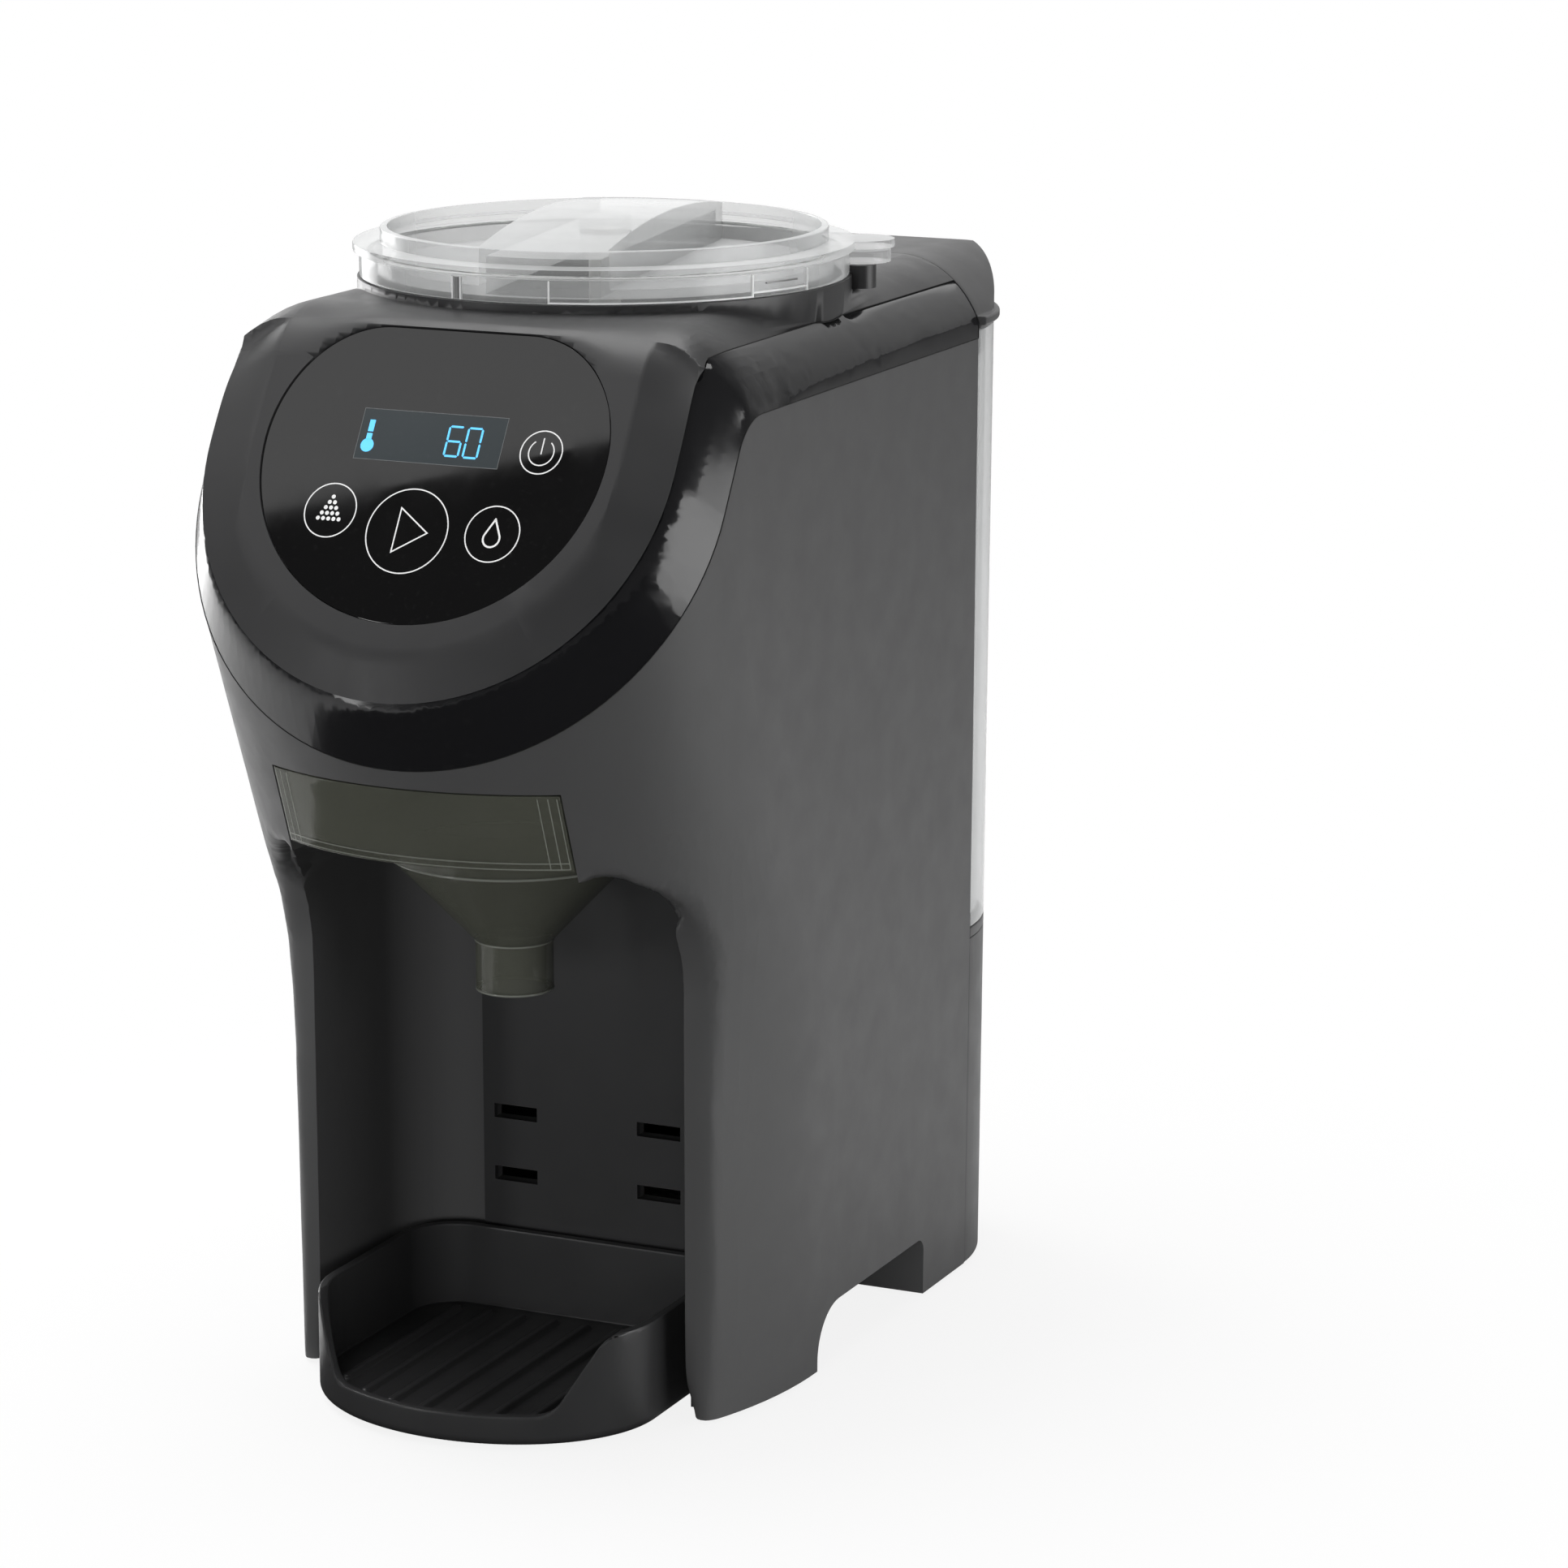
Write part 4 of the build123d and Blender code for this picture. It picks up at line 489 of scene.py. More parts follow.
def rolled(point):
    """Where a point near the brow goes when the brow is rolled."""
    across = min(max(abs(point.x) - shoulder_x, 0.0), shoulder_w * shoulder_share)
    top_z = deck_z - shoulder_h + shoulder_h * sqrt(1 - (across / shoulder_w) ** 2)
    crease_y = brow_y - (deck_z - top_z) * tan(face_tilt)
    wide = eased((abs(point.x) - roll_widens[0]) / (roll_widens[1] - roll_widens[0]))
    on_face = roll_on_face[0] + (roll_on_face[1] - roll_on_face[0]) * wide
    before = on_face * cos(half_turn)
    after = roll_on_deck * cos(half_turn)
    along = (point.y - crease_y) * cos(half_turn) + (point.z - top_z) * sin(half_turn)
    side = 1 if point.x > 0 else -1
    away = (point - Vector((side * corner_place[0], *corner_place[1:]))).length / corner_reach
    inward = Vector((side * corner_way[0], *corner_way[1:])) * corner_drop * exp(-away * away / 2)
    if not -before < along < after:
        return point + inward
    share = (before + along) / (before + sqrt(before**2 + (after - before) * (before + along)))
    curve = sin(half_turn) * (on_face * (1 - share) ** 2 + roll_on_deck * share**2)
    drop = (curve - tan(half_turn) * abs(along)) * eased((roll_ends_x - abs(point.x)) / roll_fade)
    return point + inward + Vector((0, sin(half_turn), -cos(half_turn))) * drop


def skin_of(form, seed):
    """Faces that run on from the one nearest to a point without a sharp edge between them."""
    first = min(form.faces, key=lambda face: (face.calc_center_median() - Vector(seed)).length)
    found = {first}
    front = [first]
    while front:
        face = front.pop()
        for edge in face.edges:
            for other in edge.link_faces:
                if other not in found and len(edge.link_faces) == 2 and edge.calc_face_angle() < skin_crease:
                    found.add(other)
                    front.append(other)
    return found


def chained(edges):
    """Edges joined end to end into runs of points, with whether each run closes."""
    links = {}
    for edge in edges:
        for vert in edge.verts:
            links.setdefault(vert, []).append(edge)
    left = set(edges)
    ends = [vert for vert, near in links.items() if len(near) != 2]
    runs = []
    for start in ends + list(links):
        for first in links[start]:
            if first not in left:
                continue
            run = [start]
            edge = first
            while edge in left:
                left.remove(edge)
                run.append(edge.other_vert(run[-1]))
                onward = [near for near in links[run[-1]] if near in left]
                if len(links[run[-1]]) != 2 or not onward:
                    break
                edge = onward[0]
            closes = run[0] is run[-1]
            runs.append(([vert.co.copy() for vert in (run[:-1] if closes else run)], closes))
    return runs


def seam_shadows(skin, name):
    """Thin dark line of painted shadow in the gap round a moulding's visible skin."""
    edges = [e for f in skin for e in f.edges if sum(near in skin for near in e.link_faces) == 1]
    edges = [e for e in dict.fromkeys(edges) if e.calc_length() > shortest_edge]
    curve = bpy.data.curves.new(name, "CURVE")
    curve.dimensions = "3D"
    curve.bevel_depth = seam_line
    curve.bevel_resolution = 1
    for points, closes in chained(edges):
        if len(points) < shortest_run:
            continue
        spline = curve.splines.new("POLY")
        spline.points.add(len(points) - 1)
        spline.use_cyclic_u = closes
        for place, point in zip(spline.points, points):
            place.co = (*point, 1.0)
    curve.materials.append(inks["gap"])
    piece = bpy.data.objects.new(name, curve)
    bpy.context.scene.collection.objects.link(piece)
    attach(piece, "housing")


def cut_for_brow(form, seed, is_cover):
    """Fine cuts in front of the brow's rear. The cover has fewer of them over the lens."""
    outer = [f for f in skin_of(form, seed) if any(v.co.y < brow_rear_y for v in f.verts)]
    outer = cut_finely(form, outer, (0, 1, 0), brow_rear_y, brow_rear_y, 1.0)
    outer = [f for f in outer if f.calc_center_median().y < brow_rear_y]
    if is_cover:
        outer = cut_finely(form, outer, (1, 0, 0), -lens_clear_x, lens_clear_x, 2 * lens_clear_x)
    middle = [f for f in outer if is_cover and abs(f.calc_center_median().x) < lens_clear_x]
    sides = [f for f in outer if not is_cover or abs(f.calc_center_median().x) > lens_clear_x]
    middle = cut_finely(form, middle, brow_way, *over_lens, fine_pitch)
    middle = [f for f in middle if f.calc_center_median().dot(Vector(brow_way)) > over_lens[0]]
    cut_finely(form, middle, (1, 0, 0), -over_lens_x, over_lens_x, over_lens_pitch)
    for normal, first, last, pitch in side_cuts:
        sides = cut_finely(form, sides, normal, first, last, pitch)


def soft_ridges(node, seed, margin):
    """A node rolled over at the brow, with its inner ridges softened and its seams kept."""
    is_cover = node == "top_cover"
    form = merged_copy(node)
    cut_for_brow(form, seed, is_cover)
    for vert in form.verts:
        vert.co = rolled(vert.co)
    skin = {
        f for f in skin_of(form, seed)
        if f.normal.z < level_normal_z or f.calc_center_median().z > hidden_z
    }
    front = {v for f in skin for v in f.verts if v.co.y < brow_rear_y}
    free = {v for v in front if all(near in skin for near in v.link_faces)}
    seams = [v for f in skin for v in f.verts if v not in free]
    free -= set(near_by(seams, margin))
    if is_cover:
        free = {v for v in free if abs(v.co.x) > lens_clear_x or v.co.z > lens_clear_z}
    ridges = {v for v in free if any(e.calc_face_angle() > ridge_angle for e in v.link_edges)}
    reached = near_by(ridges, ridge_steps[-1][0])
    for reach, rounds in ridge_steps:
        inside = [v for v, away in reached.items() if away <= reach and v in free]
        for turn in range(rounds):
            smoothed(form, inside)
    if not is_cover:
        seam_shadows(skin, "band_gap")
    return stand_in(form, node)


# ---- Small moulded details of the funnel and the container, coloured as painted highlights and painted shade ----
spout_y = -65.2 * mm
front_view_y = -400 * mm
panel_rear_y = -70 * mm
# painted highlights: light lines along the lit side edges of the smoky panel
panel_rib_highlight_xs = [x * mm for x in (-40.6, -38.6, -36.2, 36.2, 38.6, 40.6)]
panel_rib_highlight_zs = [(157.6 + step) * mm for step in range(21)]
panel_lip_xs = [(-40.5 + step * 2.7) * mm for step in range(31)]
# painted highlights: light lines along the panel's lower lip
panel_lip_zs = [z * mm for z in (157.7, 159.4)]
panel_rib_highlight_w = 0.26 * mm
panel_lip_w = 0.3 * mm
panel_line_h = 0.05 * mm
fewest_hits = 4
bead_sides = 10
# beads on the spout's lips, coloured as painted highlights
spout_bead_highlights = (  # radius, thickness and height in mm, steps
    (32.9, 0.35, 148.2, 128), (10.35, 0.3, 124.3, 96), (10.2, 0.35, 111.0, 96), (9.0, 0.25, 110.9, 96),
)

bin_y = -8.5 * mm
bin_rim_r = 65.6 * mm
bin_wall = (bin_rim_r - 0.3 * mm, bin_rim_r + 0.35 * mm)
# painted highlights: light lines on the edges of the bars, the step and the bayonet ledge
bin_highlight_arcs = (  # start and end in degrees, low and high in mm, steps
    (-100.3, -99.9, 295.4, 301.3, 2), (-98.1, -97.7, 295.4, 301.3, 2), (-76.3, -75.9, 295.4, 301.3, 2),
    (-10.4, -10.0, 295.4, 301.3, 2), (-28.2, -27.8, 295.4, 301.3, 2),
    (-27.8, -10.4, 296.4, 296.9, 24), (-75.9, -28.2, 295.4, 295.8, 48),
)
# painted shade: dark lines in the bayonet slot and in the middle of a bar
bin_shade_arcs = ((-24.0, -14.0, 298.6, 299.0, 12), (-99.5, -98.5, 295.6, 301.1, 2))


def bead(form, centre, radius, thick, z, steps):
    """Closed round ring lying level at a height."""
    x, y = centre
    verts = []
    for index in range(bead_sides):
        turn = 2 * pi * index / bead_sides
        verts.append(form.verts.new((x + radius + thick * cos(turn), y, z + thick * sin(turn))))
    edges = [form.edges.new((vert, after)) for vert, after in zip(verts, verts[1:] + verts[:1])]
    bmesh.ops.spin(form, geom=[*verts, *edges], cent=(x, y, 0), axis=(0, 0, 1), angle=2 * pi, steps=steps,
                   use_merge=True)
    bmesh.ops.recalc_face_normals(form, faces=form.faces)


def closed_block(form, rows):
    """Closes rows of four corners into a block with two ends."""
    for one, two in zip(rows, rows[1:]):
        for index in range(4):
            after = (index + 1) % 4
            form.faces.new((one[index], one[after], two[after], two[index]))
    form.faces.new(rows[0])
    form.faces.new(list(reversed(rows[-1])))
    bmesh.ops.recalc_face_normals(form, faces=form.faces)


def strip(form, points, normals, width, height):
    """Closed rib along a line of points on a surface."""
    rows = []
    for index, point in enumerate(points):
        ahead = (points[min(index + 1, len(points) - 1)] - points[max(index - 1, 0)]).normalized()
        across = ahead.cross(normals[index]).normalized() * width / 2
        out = normals[index] * height
        low = normals[index] * -height
        moves = (low - across, low + across, out + across, out - across)
        rows.append([form.verts.new(point + move) for move in moves])
    closed_block(form, rows)


def on_front(tree, x, z):
    """The point of a piece's front, and the way it faces, at a place seen level from the front."""
    point, normal, _, _ = tree.ray_cast(Vector((x, front_view_y, z)), Vector((0, 1, 0)))
    return point, normal


def front_line(form, tree, places, width):
    """Fine rib of painted highlight over the places where the panel's front is met."""
    hits = [on_front(tree, x, z) for x, z in places]
    hits = [hit for hit in hits if hit[0] is not None and hit[0].y < panel_rear_y]
    if len(hits) >= fewest_hits:
        strip(form, [hit[0] for hit in hits], [hit[1] for hit in hits], width, panel_line_h)


def funnel_highlights():
    """Painted highlights: light lines on the lit edges of the smoky panel and on the lip below it, and light
    beads on the lips of the spout.
    """
    form = bmesh.new()
    form.from_mesh(frame["nodes"]["funnel_body"].data)
    tree = BVHTree.FromBMesh(form)
    form.free()
    form = bmesh.new()
    for x in panel_rib_highlight_xs:
        front_line(form, tree, [(x, z) for z in panel_rib_highlight_zs], panel_rib_highlight_w)
    for z in panel_lip_zs:
        front_line(form, tree, [(x, z) for x in panel_lip_xs], panel_lip_w)
    piece_from(form, "funnel_panel_highlights", inks["smoke_highlight"], "funnel")
    form = bmesh.new()
    for radius, thick, z, steps in spout_bead_highlights:
        bead(form, (0, spout_y), radius * mm, thick * mm, z * mm, steps)
    smooth(piece_from(form, "funnel_bead_highlights", inks["smoke_highlight"], "funnel"))


def arc_block(form, start, end, low_z, high_z, steps):
    """Closed block that follows the container's wall between two angles."""
    inner_r, outer_r = bin_wall
    corners = ((inner_r, low_z), (outer_r, low_z), (outer_r, high_z), (inner_r, high_z))
    centre = Vector((0, bin_y, 0))
    rows = []
    for step in range(steps + 1):
        turn = radians(start + (end - start) * step / steps)
        way = Vector((cos(turn), sin(turn), 0))
        rows.append([form.verts.new(centre + way * radius + Vector((0, 0, z))) for radius, z in corners])
    closed_block(form, rows)


def container_details():
    """Bars, a step and a bayonet ledge on the container's rim, drawn as thin blocks in painted highlight and
    painted shade.
    """
    for name, ink, arcs in (
        ("container_highlights", "clear_highlight", bin_highlight_arcs), ("container_shades", "clear_shade", bin_shade_arcs),
    ):
        form = bmesh.new()
        for start, end, low, high, steps in arcs:
            arc_block(form, start, end, low * mm, high * mm, steps)
        piece_from(form, name, inks[ink], "powder_bin")


# ---- Flat artwork, drawn level and laid on the lens afterwards ----
def ring(form, centre, radius, width, start=0.0, sweep=2 * pi, steps=96):
    """Flat ring or part of one, spun from a short edge."""
    x, y = centre
    inner = form.verts.new((x + (radius - width / 2) * cos(start), y + (radius - width / 2) * sin(start), 0))
    outer = form.verts.new((x + (radius + width / 2) * cos(start), y + (radius + width / 2) * sin(start), 0))
    edge = form.edges.new((inner, outer))
    whole = sweep > 2 * pi - 0.001
    bmesh.ops.spin(form, geom=[inner, outer, edge], cent=(x, y, 0), axis=(0, 0, 1), angle=sweep, steps=steps,
                   use_merge=whole)


def dot(form, centre, radius, steps=20):
    """Flat disc."""
    bmesh.ops.create_circle(form, cap_ends=True, segments=steps, radius=radius,
                            matrix=Matrix.Translation((*centre, 0)))


def stroke(form, start, end, width):
    """Flat bar with pointed ends between two points, as in a seven-segment digit."""
    start = Vector(start)
    end = Vector(end)
    along = (end - start).normalized()
    across = Vector((-along.y, along.x)) * width / 2
    tip = along * width / 2
    corners = (start, start + tip + across, end - tip + across, end, end - tip - across, start + tip - across)
    form.faces.new([form.verts.new((point.x, point.y, 0)) for point in corners])


def line(form, start, end, width):
    """Flat bar with square ends."""
    start = Vector(start)
    end = Vector(end)
    along = (end - start).normalized()
    across = Vector((-along.y, along.x)) * width / 2
    corners = (start + across, end + across, end - across, start - across)
    form.faces.new([form.verts.new((point.x, point.y, 0)) for point in corners])


def outline(form, corners, width):
    """Closed line of a width round a list of corners, mitred."""
    inner = []
    outer = []
    count = len(corners)
    for index, corner in enumerate(corners):
        point = Vector(corner)
        before = (point - Vector(corners[index - 1])).normalized()
        after = (Vector(corners[(index + 1) % count]) - point).normalized()
        normal = Vector((-before.y - after.y, before.x + after.x)).normalized()
        reach = width / 2 / max(0.3, normal.dot(Vector((-before.y, before.x))))
        inner.append(form.verts.new((*(point + normal * reach), 0)))
        outer.append(form.verts.new((*(point - normal * reach), 0)))
    for index in range(count):
        after = (index + 1) % count
        form.faces.new((inner[index], inner[after], outer[after], outer[index]))


def thicken(form, height):
    """Flat faces become closed plates of a height."""
    bmesh.ops.recalc_face_normals(form, faces=form.faces)
    for face in form.faces:
        if face.normal.z < 0:
            face.normal_flip()
    top = bmesh.ops.extrude_face_region(form, geom=form.faces[:], use_keep_orig=True)
    raised = [item for item in top["geom"] if isinstance(item, bmesh.types.BMVert)]
    bmesh.ops.translate(form, verts=raised, vec=(0, 0, height))
    bmesh.ops.recalc_face_normals(form, faces=form.faces)


# ---- Control lens ----
lens_origin = Vector((0.0, -108.13 * mm, 257.37 * mm))
lens_across = Vector((1.0, 0.0, 0.0))
lens_up = Vector((0.0, sin(face_tilt), cos(face_tilt)))
lens_normal = Vector((0.0, -cos(face_tilt), sin(face_tilt)))
lens_turn = Matrix((lens_across, lens_up, lens_normal)).transposed().to_4x4()
lens_place = Matrix.Translation(lens_origin) @ lens_turn
print_rise = 0.02 * mm
print_height = 0.03 * mm
print_line = 0.33 * mm

window_centre = (-1.8 * mm, 7.95 * mm)
window_w = 41.2 * mm
window_h = 13.8 * mm
digit_w = 4.0 * mm
digit_h = 8.0 * mm
digit_line = 0.56 * mm
digit_gap = 0.22 * digit_line
frame_line = 0.16 * mm
digit_corners = ((2.95 * mm, 3.55 * mm), (8.35 * mm, 3.45 * mm))
digit_six = "acdefg"
digit_nought = "abcdef"
bulb_centre = (-19.4 * mm, 4.85 * mm)
bulb_r = 1.85 * mm
stem_w = 1.55 * mm
stem_low_y = bulb_centre[1] + 1.4 * mm
stem_break = (8.15 * mm, 8.6 * mm)
stem_high_y = 11.8 * mm

powder_centre = (-25.1 * mm, -13.5 * mm)
powder_r = 7.3 * mm
play_centre = (-2.0 * mm, -17.4 * mm)
play_r = 11.4 * mm
amount_centre = (22.0 * mm, -16.3 * mm)
amount_r = 7.5 * mm
power_centre = (30.0 * mm, 6.4 * mm)
power_r = 5.8 * mm
play_line = 0.36 * mm
drop_line = 0.5 * mm
grain_rows = 5
grain_pitch = 1.5 * mm
grain_r = 0.56 * mm


def on_lens(form, name, material, rise=print_rise, height=print_height):
    """Flat artwork drawn in the lens's plane is thickened and laid on the lens."""
    thicken(form, height)
    bmesh.ops.transform(form, matrix=lens_place @ Matrix.Translation((0, 0, rise)), verts=form.verts)
    piece_from(form, name, material, "housing")


def digit(form, corner, bars):
    """Seven-segment digit from its lower left corner."""
    low_x, low_y = corner
    high_x = low_x + digit_w
    mid_y = low_y + digit_h / 2
    high_y = low_y + digit_h
    ends = {
        "a": ((low_x, high_y), (high_x, high_y)), "b": ((high_x, mid_y), (high_x, high_y)),
        "c": ((high_x, low_y), (high_x, mid_y)), "d": ((low_x, low_y), (high_x, low_y)),
        "e": ((low_x, low_y), (low_x, mid_y)), "f": ((low_x, mid_y), (low_x, high_y)),
        "g": ((low_x, mid_y), (high_x, mid_y)),
    }
    for bar in bars:
        start, end = (Vector(point) for point in ends[bar])
        gap = (end - start).normalized() * digit_gap
        stroke(form, start + gap, end - gap, digit_line)


def display_artwork():
    """Two digits and a thermometer, lit in blue, behind a thin frame line."""
    form = bmesh.new()
    for corner, bars in zip(digit_corners, (digit_six, digit_nought)):
        digit(form, corner, bars)
    dot(form, bulb_centre, bulb_r, 40)
    x = bulb_centre[0]
    line(form, (x, stem_low_y), (x, stem_break[0]), stem_w)
    line(form, (x, stem_break[1]), (x, stem_high_y), stem_w)
    on_lens(form, "display_figures", inks["blue"])
    form = bmesh.new()
    x, y = window_centre
    line(form, (x - window_w / 2, y), (x + window_w / 2, y), window_h)
    on_lens(form, "display_window", finishes["lcd"], print_rise / 2, print_rise / 4)
    form = bmesh.new()
    signs = ((-1, -1), (1, -1), (1, 1), (-1, 1))
    corners = [(x + across * window_w / 2, y + up * window_h / 2) for across, up in signs]
    outline(form, corners, frame_line)
    on_lens(form, "display_frame_line", inks["grey"])


def powder_symbol():
    """Heap of powder grains in a ring."""
    form = bmesh.new()
    ring(form, powder_centre, powder_r, print_line)
    for row in range(grain_rows):
        for grain in range(row + 1):
            x = powder_centre[0] + (grain - row / 2) * grain_pitch
            y = powder_centre[1] + 3.7 * mm - row * grain_pitch
            dot(form, (x, y), grain_r)
    on_lens(form, "powder_symbol", inks["white"])


def play_symbol():
    """Triangle in the largest ring."""
    form = bmesh.new()
    ring(form, play_centre, play_r, print_line, steps=128)
    x, y = play_centre
    rear_x = x - 3.05 * mm
    corners = [(rear_x, y + 6.1 * mm), (rear_x, y - 5.9 * mm), (x + 5.8 * mm, y - 0.1 * mm)]
    outline(form, corners, play_line)
    on_lens(form, "play_symbol", inks["white"])


def amount_symbol():
    """Drop of liquid in a ring."""
    form = bmesh.new()
    ring(form, amount_centre, amount_r, print_line)
    x, y = amount_centre
    drop_r = 2.3 * mm
    low_y = y - 1.2 * mm
    tip_y = y + 4.2 * mm
    lean = radians(28.0)
    ring(form, (x, low_y), drop_r, drop_line, start=pi - lean, sweep=pi + 2 * lean, steps=48)
    for side in (-1, 1):
        foot = (x + side * drop_r * cos(lean), low_y + drop_r * sin(lean))
        line(form, foot, (x - side * 0.1 * mm, tip_y), drop_line)
    on_lens(form, "amount_symbol", inks["white"])


def power_symbol():
    """Broken ring and bar in a ring."""
    form = bmesh.new()
    ring(form, power_centre, power_r, print_line)
    gap = radians(38.0)
    ring(form, power_centre, 3.5 * mm, print_line, start=pi / 2 + gap, sweep=2 * pi - 2 * gap, steps=72)
    x, y = power_centre
    line(form, (x, y - 0.5 * mm), (x, y + 3.9 * mm), print_line)
    on_lens(form, "power_symbol", inks["white"])


# ---- Light and floor ----
card_left = (-47.5 * mm, -8.9 * mm)
card_right = (46.0 * mm, 18.0 * mm)
card_overhang = 6
world_grey = 0.17
backdrop_edge = (0.55, 0.85)
floor_r = 12.0


def aim(lamp, target):
    """Turn a lamp towards a point."""
    lamp.rotation_euler = (Vector(target) - lamp.location).to_track_quat("-Z", "Y").to_euler()


def soft_lamp(name, place, target, size, watts, glossy=True):
    """Rectangular soft lamp."""
    data = bpy.data.lights.new(name, "AREA")
    data.shape = "RECTANGLE"
    data.size, data.size_y = size
    data.energy = watts
    lamp = bpy.data.objects.new(name, data)
    lamp.location = place
    aim(lamp, target)
    lamp.visible_camera = False
    lamp.visible_transmission = False
    lamp.visible_glossy = glossy
    bpy.context.scene.collection.objects.link(lamp)
    return lamp


def mirrored_off_lens(across, up):
    """Where the camera looks, by way of a point on the lens: that point and the mirrored direction."""
    point = lens_place @ Vector((across, up, 0))
    to_camera = (Vector(camera_place) - point).normalized()
    return point, (2 * to_camera.dot(lens_normal) * lens_normal - to_camera).normalized()


def lens_card(reach, height, watts):
    """Lamp whose lower edge shows as the slanting line across the lens."""
    left, left_way = mirrored_off_lens(*card_left)
    right, right_way = mirrored_off_lens(*card_right)
    low_left = left + left_way * reach
    low_right = right + right_way * reach
    along = (low_right - low_left).normalized()
    facing = -((left_way + right_way) / 2).normalized()
    upward = along.cross(facing)
    if upward.z < 0:
        upward = -upward
    length = (low_right - low_left).length * card_overhang
    centre = (low_left + low_right) / 2 + upward * height / 2
    lamp = soft_lamp("lens_card", centre, centre + facing, (length, height), watts)
    across = upward.cross(-facing).normalized()
    lamp.rotation_euler = Matrix((across, upward, -facing)).transposed().to_euler()


def make_world():
    """Even grey light, with a white backdrop for what looks past the machine."""
    world = bpy.data.worlds.new("studio")
    world.use_nodes = True
    tree = world.node_tree
    tree.nodes.clear()
    link = tree.links.new
    output = tree.nodes.new("ShaderNodeOutputWorld")
    even = tree.nodes.new("ShaderNodeBackground")
    even.inputs["Strength"].default_value = world_grey
    white = tree.nodes.new("ShaderNodeBackground")
    white.inputs["Color"].default_value = (1.0, 1.0, 1.0, 1.0)
    path = tree.nodes.new("ShaderNodeLightPath")
    seen = tree.nodes.new("ShaderNodeMath")
    seen.operation = "MAXIMUM"
    link(path.outputs["Is Camera Ray"], seen.inputs[0])
    link(path.outputs["Is Transmission Ray"], seen.inputs[1])
    direction = tree.nodes.new("ShaderNodeTexCoord")
    behind = tree.nodes.new("ShaderNodeVectorMath")
    behind.operation = "DOT_PRODUCT"
    behind.inputs[1].default_value = (-sin(camera_turn), cos(camera_turn), 0.0)
    link(direction.outputs["Generated"], behind.inputs[0])
    edge = tree.nodes.new("ShaderNodeMapRange")
    edge.interpolation_type = "SMOOTHSTEP"
    edge.inputs["From Min"].default_value = backdrop_edge[0]
    edge.inputs["From Max"].default_value = backdrop_edge[1]
    link(behind.outputs["Value"], edge.inputs["Value"])
    mirrored = tree.nodes.new("ShaderNodeMath")
    mirrored.operation = "MULTIPLY"
    link(path.outputs["Is Glossy Ray"], mirrored.inputs[0])
    link(edge.outputs["Result"], mirrored.inputs[1])
    either = tree.nodes.new("ShaderNodeMath")
    either.operation = "MAXIMUM"
    link(seen.outputs["Value"], either.inputs[0])
    link(mirrored.outputs["Value"], either.inputs[1])
    mix = tree.nodes.new("ShaderNodeMixShader")
    link(either.outputs["Value"], mix.inputs["Fac"])
    link(even.outputs["Background"], mix.inputs[1])
    link(white.outputs["Background"], mix.inputs[2])
    link(mix.outputs["Shader"], output.inputs["Surface"])
    bpy.context.scene.world = world


def front_patch(look):
    """1 on the floor in front and to the right of the machine, where only bounced light finds it dark."""
    axes = look.node("ShaderNodeSeparateXYZ")
    look.join(look.place, axes.inputs["Vector"])
    right_of = look.ramp(axes.outputs["X"], -0.275, -0.265)
    in_front = look.ramp(axes.outputs["Y"], -0.085, -0.075, 1.0, 0.0)
    both = look.node("ShaderNodeMath", operation="MULTIPLY")
    look.join(right_of, both.inputs[0])
    look.join(in_front, both.inputs[1])
    return both.outputs["Value"]


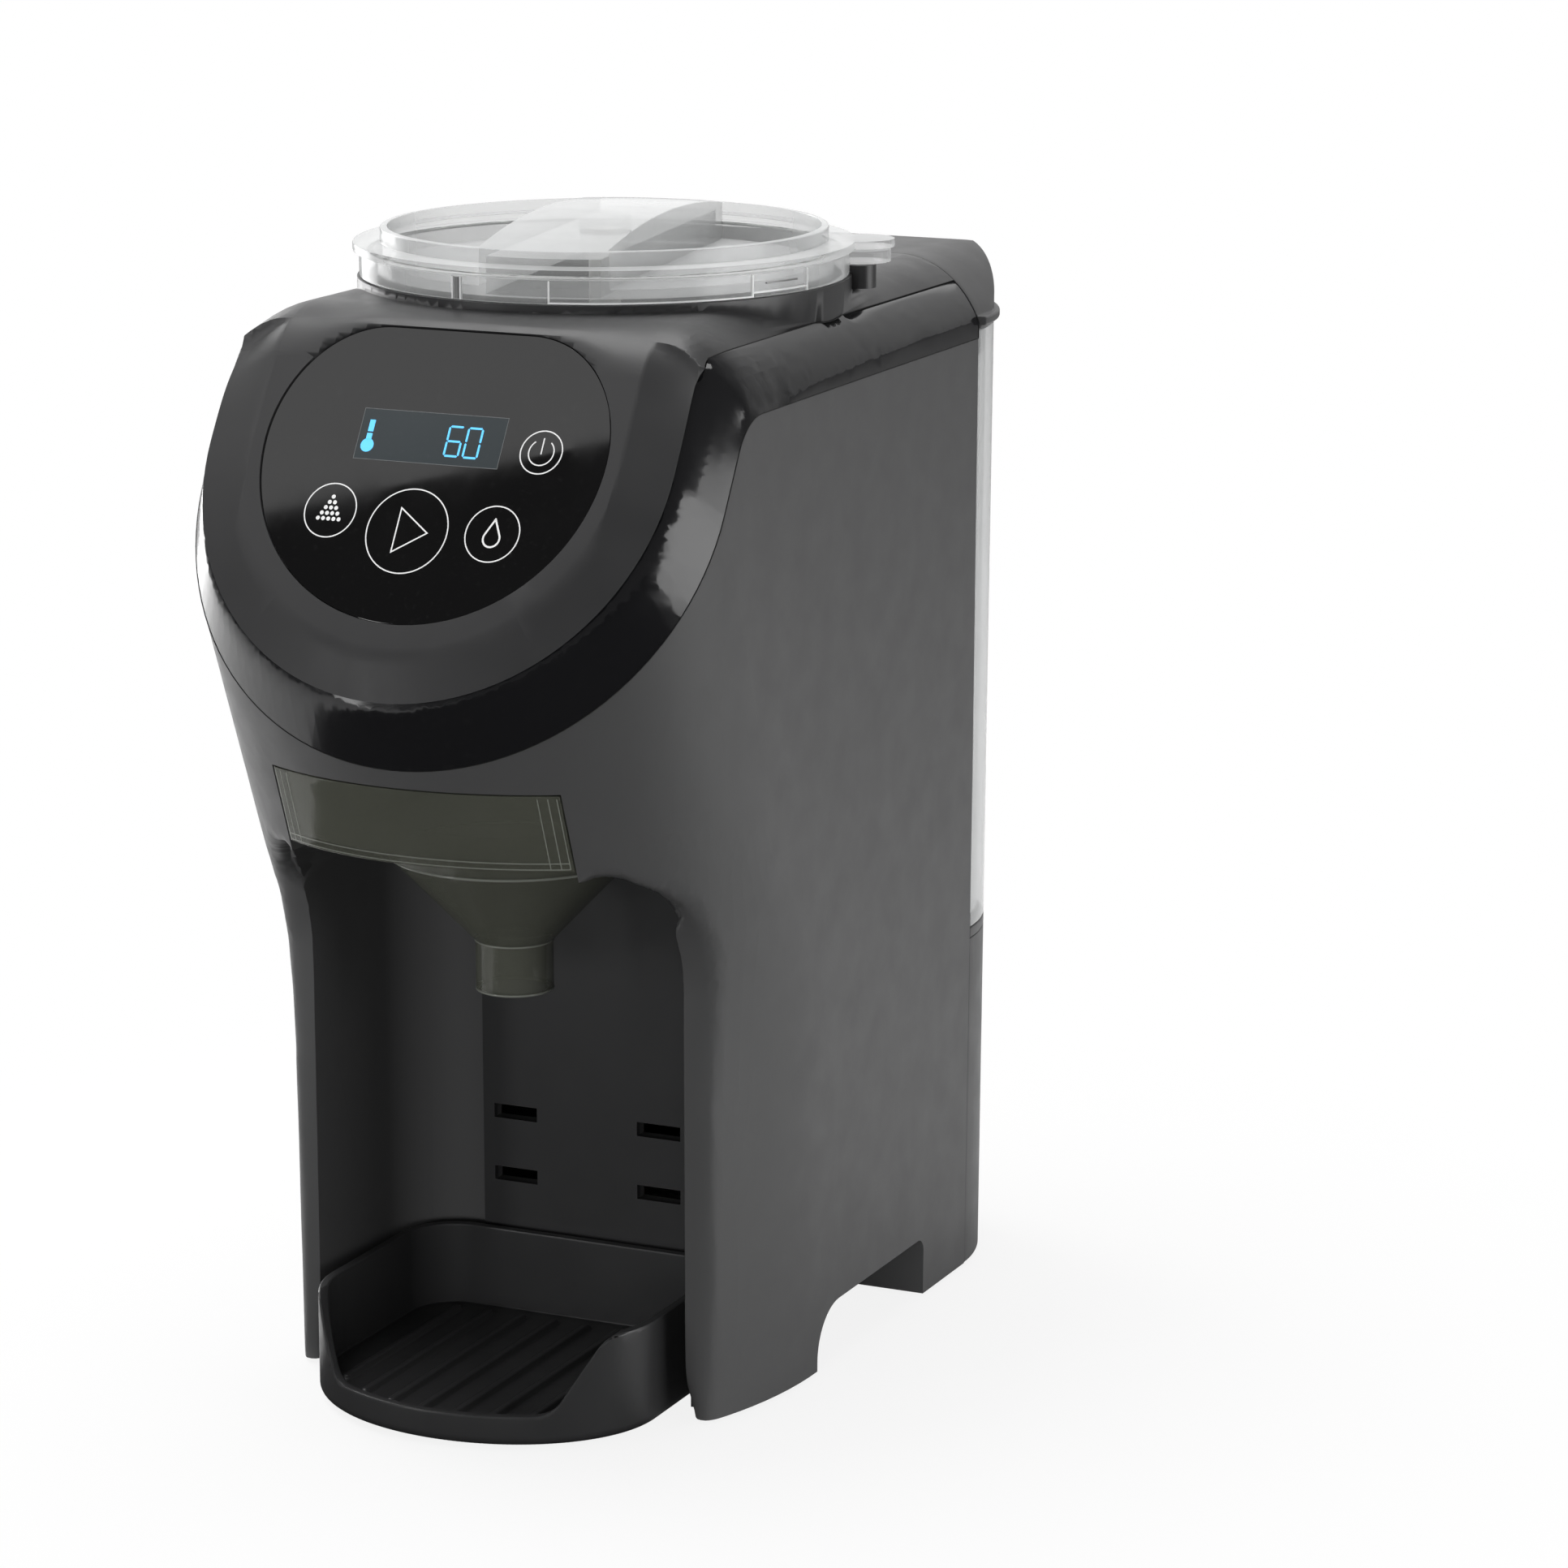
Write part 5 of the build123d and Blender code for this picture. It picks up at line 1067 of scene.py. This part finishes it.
def floor_finish():
    """Pale floor that fades into the white backdrop away from the machine."""
    look = Shading("pale floor")
    look.set(Roughness=0.9)
    mottle = look.noise(0.3, 2.0)
    look.join(look.blend(mottle, (0.90, 0.90, 0.90), (0.93, 0.93, 0.93)), look.shader.inputs["Base Color"])
    path = look.node("ShaderNodeLightPath")
    reach = look.node("ShaderNodeVectorMath", operation="LENGTH")
    look.join(look.place, reach.inputs[0])
    fade = look.ramp(reach.outputs["Value"], 0.12, 0.32, 0.86, 1.0)
    share = look.node("ShaderNodeMath", operation="MULTIPLY")
    look.join(fade, share.inputs[0])
    look.join(path.outputs["Is Camera Ray"], share.inputs[1])
    white = look.node("ShaderNodeEmission")
    dull = look.node("ShaderNodeBsdfDiffuse")
    dull.inputs["Color"].default_value = (0.03, 0.03, 0.03, 1.0)
    inside = front_patch(look)
    bounced = look.node("ShaderNodeMath", operation="SUBTRACT", use_clamp=True)
    look.join(inside, bounced.inputs[0])
    look.join(path.outputs["Is Camera Ray"], bounced.inputs[1])
    front = look.node("ShaderNodeMixShader")
    look.join(bounced.outputs["Value"], front.inputs["Fac"])
    look.join(look.shader.outputs["BSDF"], front.inputs[1])
    look.join(dull.outputs["BSDF"], front.inputs[2])
    mix = look.node("ShaderNodeMixShader")
    look.join(share.outputs["Value"], mix.inputs["Fac"])
    look.join(front.outputs["Shader"], mix.inputs[1])
    look.join(white.outputs["Emission"], mix.inputs[2])
    look.join(mix.outputs["Shader"], look.tree.nodes["Material Output"].inputs["Surface"])
    return look.material


def make_floor():
    """The floor, which is stage and no part of the machine."""
    form = bmesh.new()
    bmesh.ops.create_circle(form, cap_ends=True, segments=96, radius=floor_r)
    mesh = bpy.data.meshes.new("floor")
    form.to_mesh(mesh)
    form.free()
    mesh.materials.append(floor_finish())
    floor = bpy.data.objects.new("floor", mesh)
    bpy.context.scene.collection.objects.link(floor)


def make_studio():
    """Large soft lamps to the right, above and behind on the left."""
    make_world()
    make_floor()
    middle = (0.0, 0.0, 0.14)
    soft_lamp("right_lamp", (1.35, 0.06, 0.12), middle, (1.0, 0.9), 11.5)
    soft_lamp("top_lamp", (-0.20, 0.26, 1.5), middle, (1.2, 1.0), 14.0)
    soft_lamp("left_rim_lamp", (-1.0, 0.50, 0.40), middle, (0.5, 1.0), 8.5)
    soft_lamp("front_fill", (0.30, -1.60, 0.14), middle, (1.2, 0.4), 12.5, glossy=False)
    soft_lamp("front_strip", (-0.75, -1.25, 0.35), middle, (0.12, 0.9), 2.0)
    lens_card(0.95, 0.9, 3.6)


# ---- Making ----
make_camera()
finishes = make_finishes()
inks = make_inks()
make_studio()

for node, piece in frame["nodes"].items():
    for slot in piece.material_slots:
        slot.material = finishes[slot_of[node]]

edge_sizes = {  # in mm
    "control_lens": 0.3, "rear_cover": 0.5, "tank_dock": 0.4, "tank_lid": 0.4, "bottle_tray": 0.8,
    "container_lid": 0.35, "powder_container": 0.35, "water_tank": 0.35,
    "funnel_body": 0.3, "funnel_cover": 0.3, "rubber_feet": 0.3,
}
for node, size in edge_sizes.items():
    rounded(node, size * mm)
outer_shell_moulding()
soft_ridges("top_cover", cover_seed, cover_margin)
soft_ridges("trim_band", band_seed, band_margin)
funnel_highlights()
container_details()

display_artwork()
powder_symbol()
play_symbol()
amount_symbol()
power_symbol()

bpy.context.scene.view_settings.view_transform = "Standard"
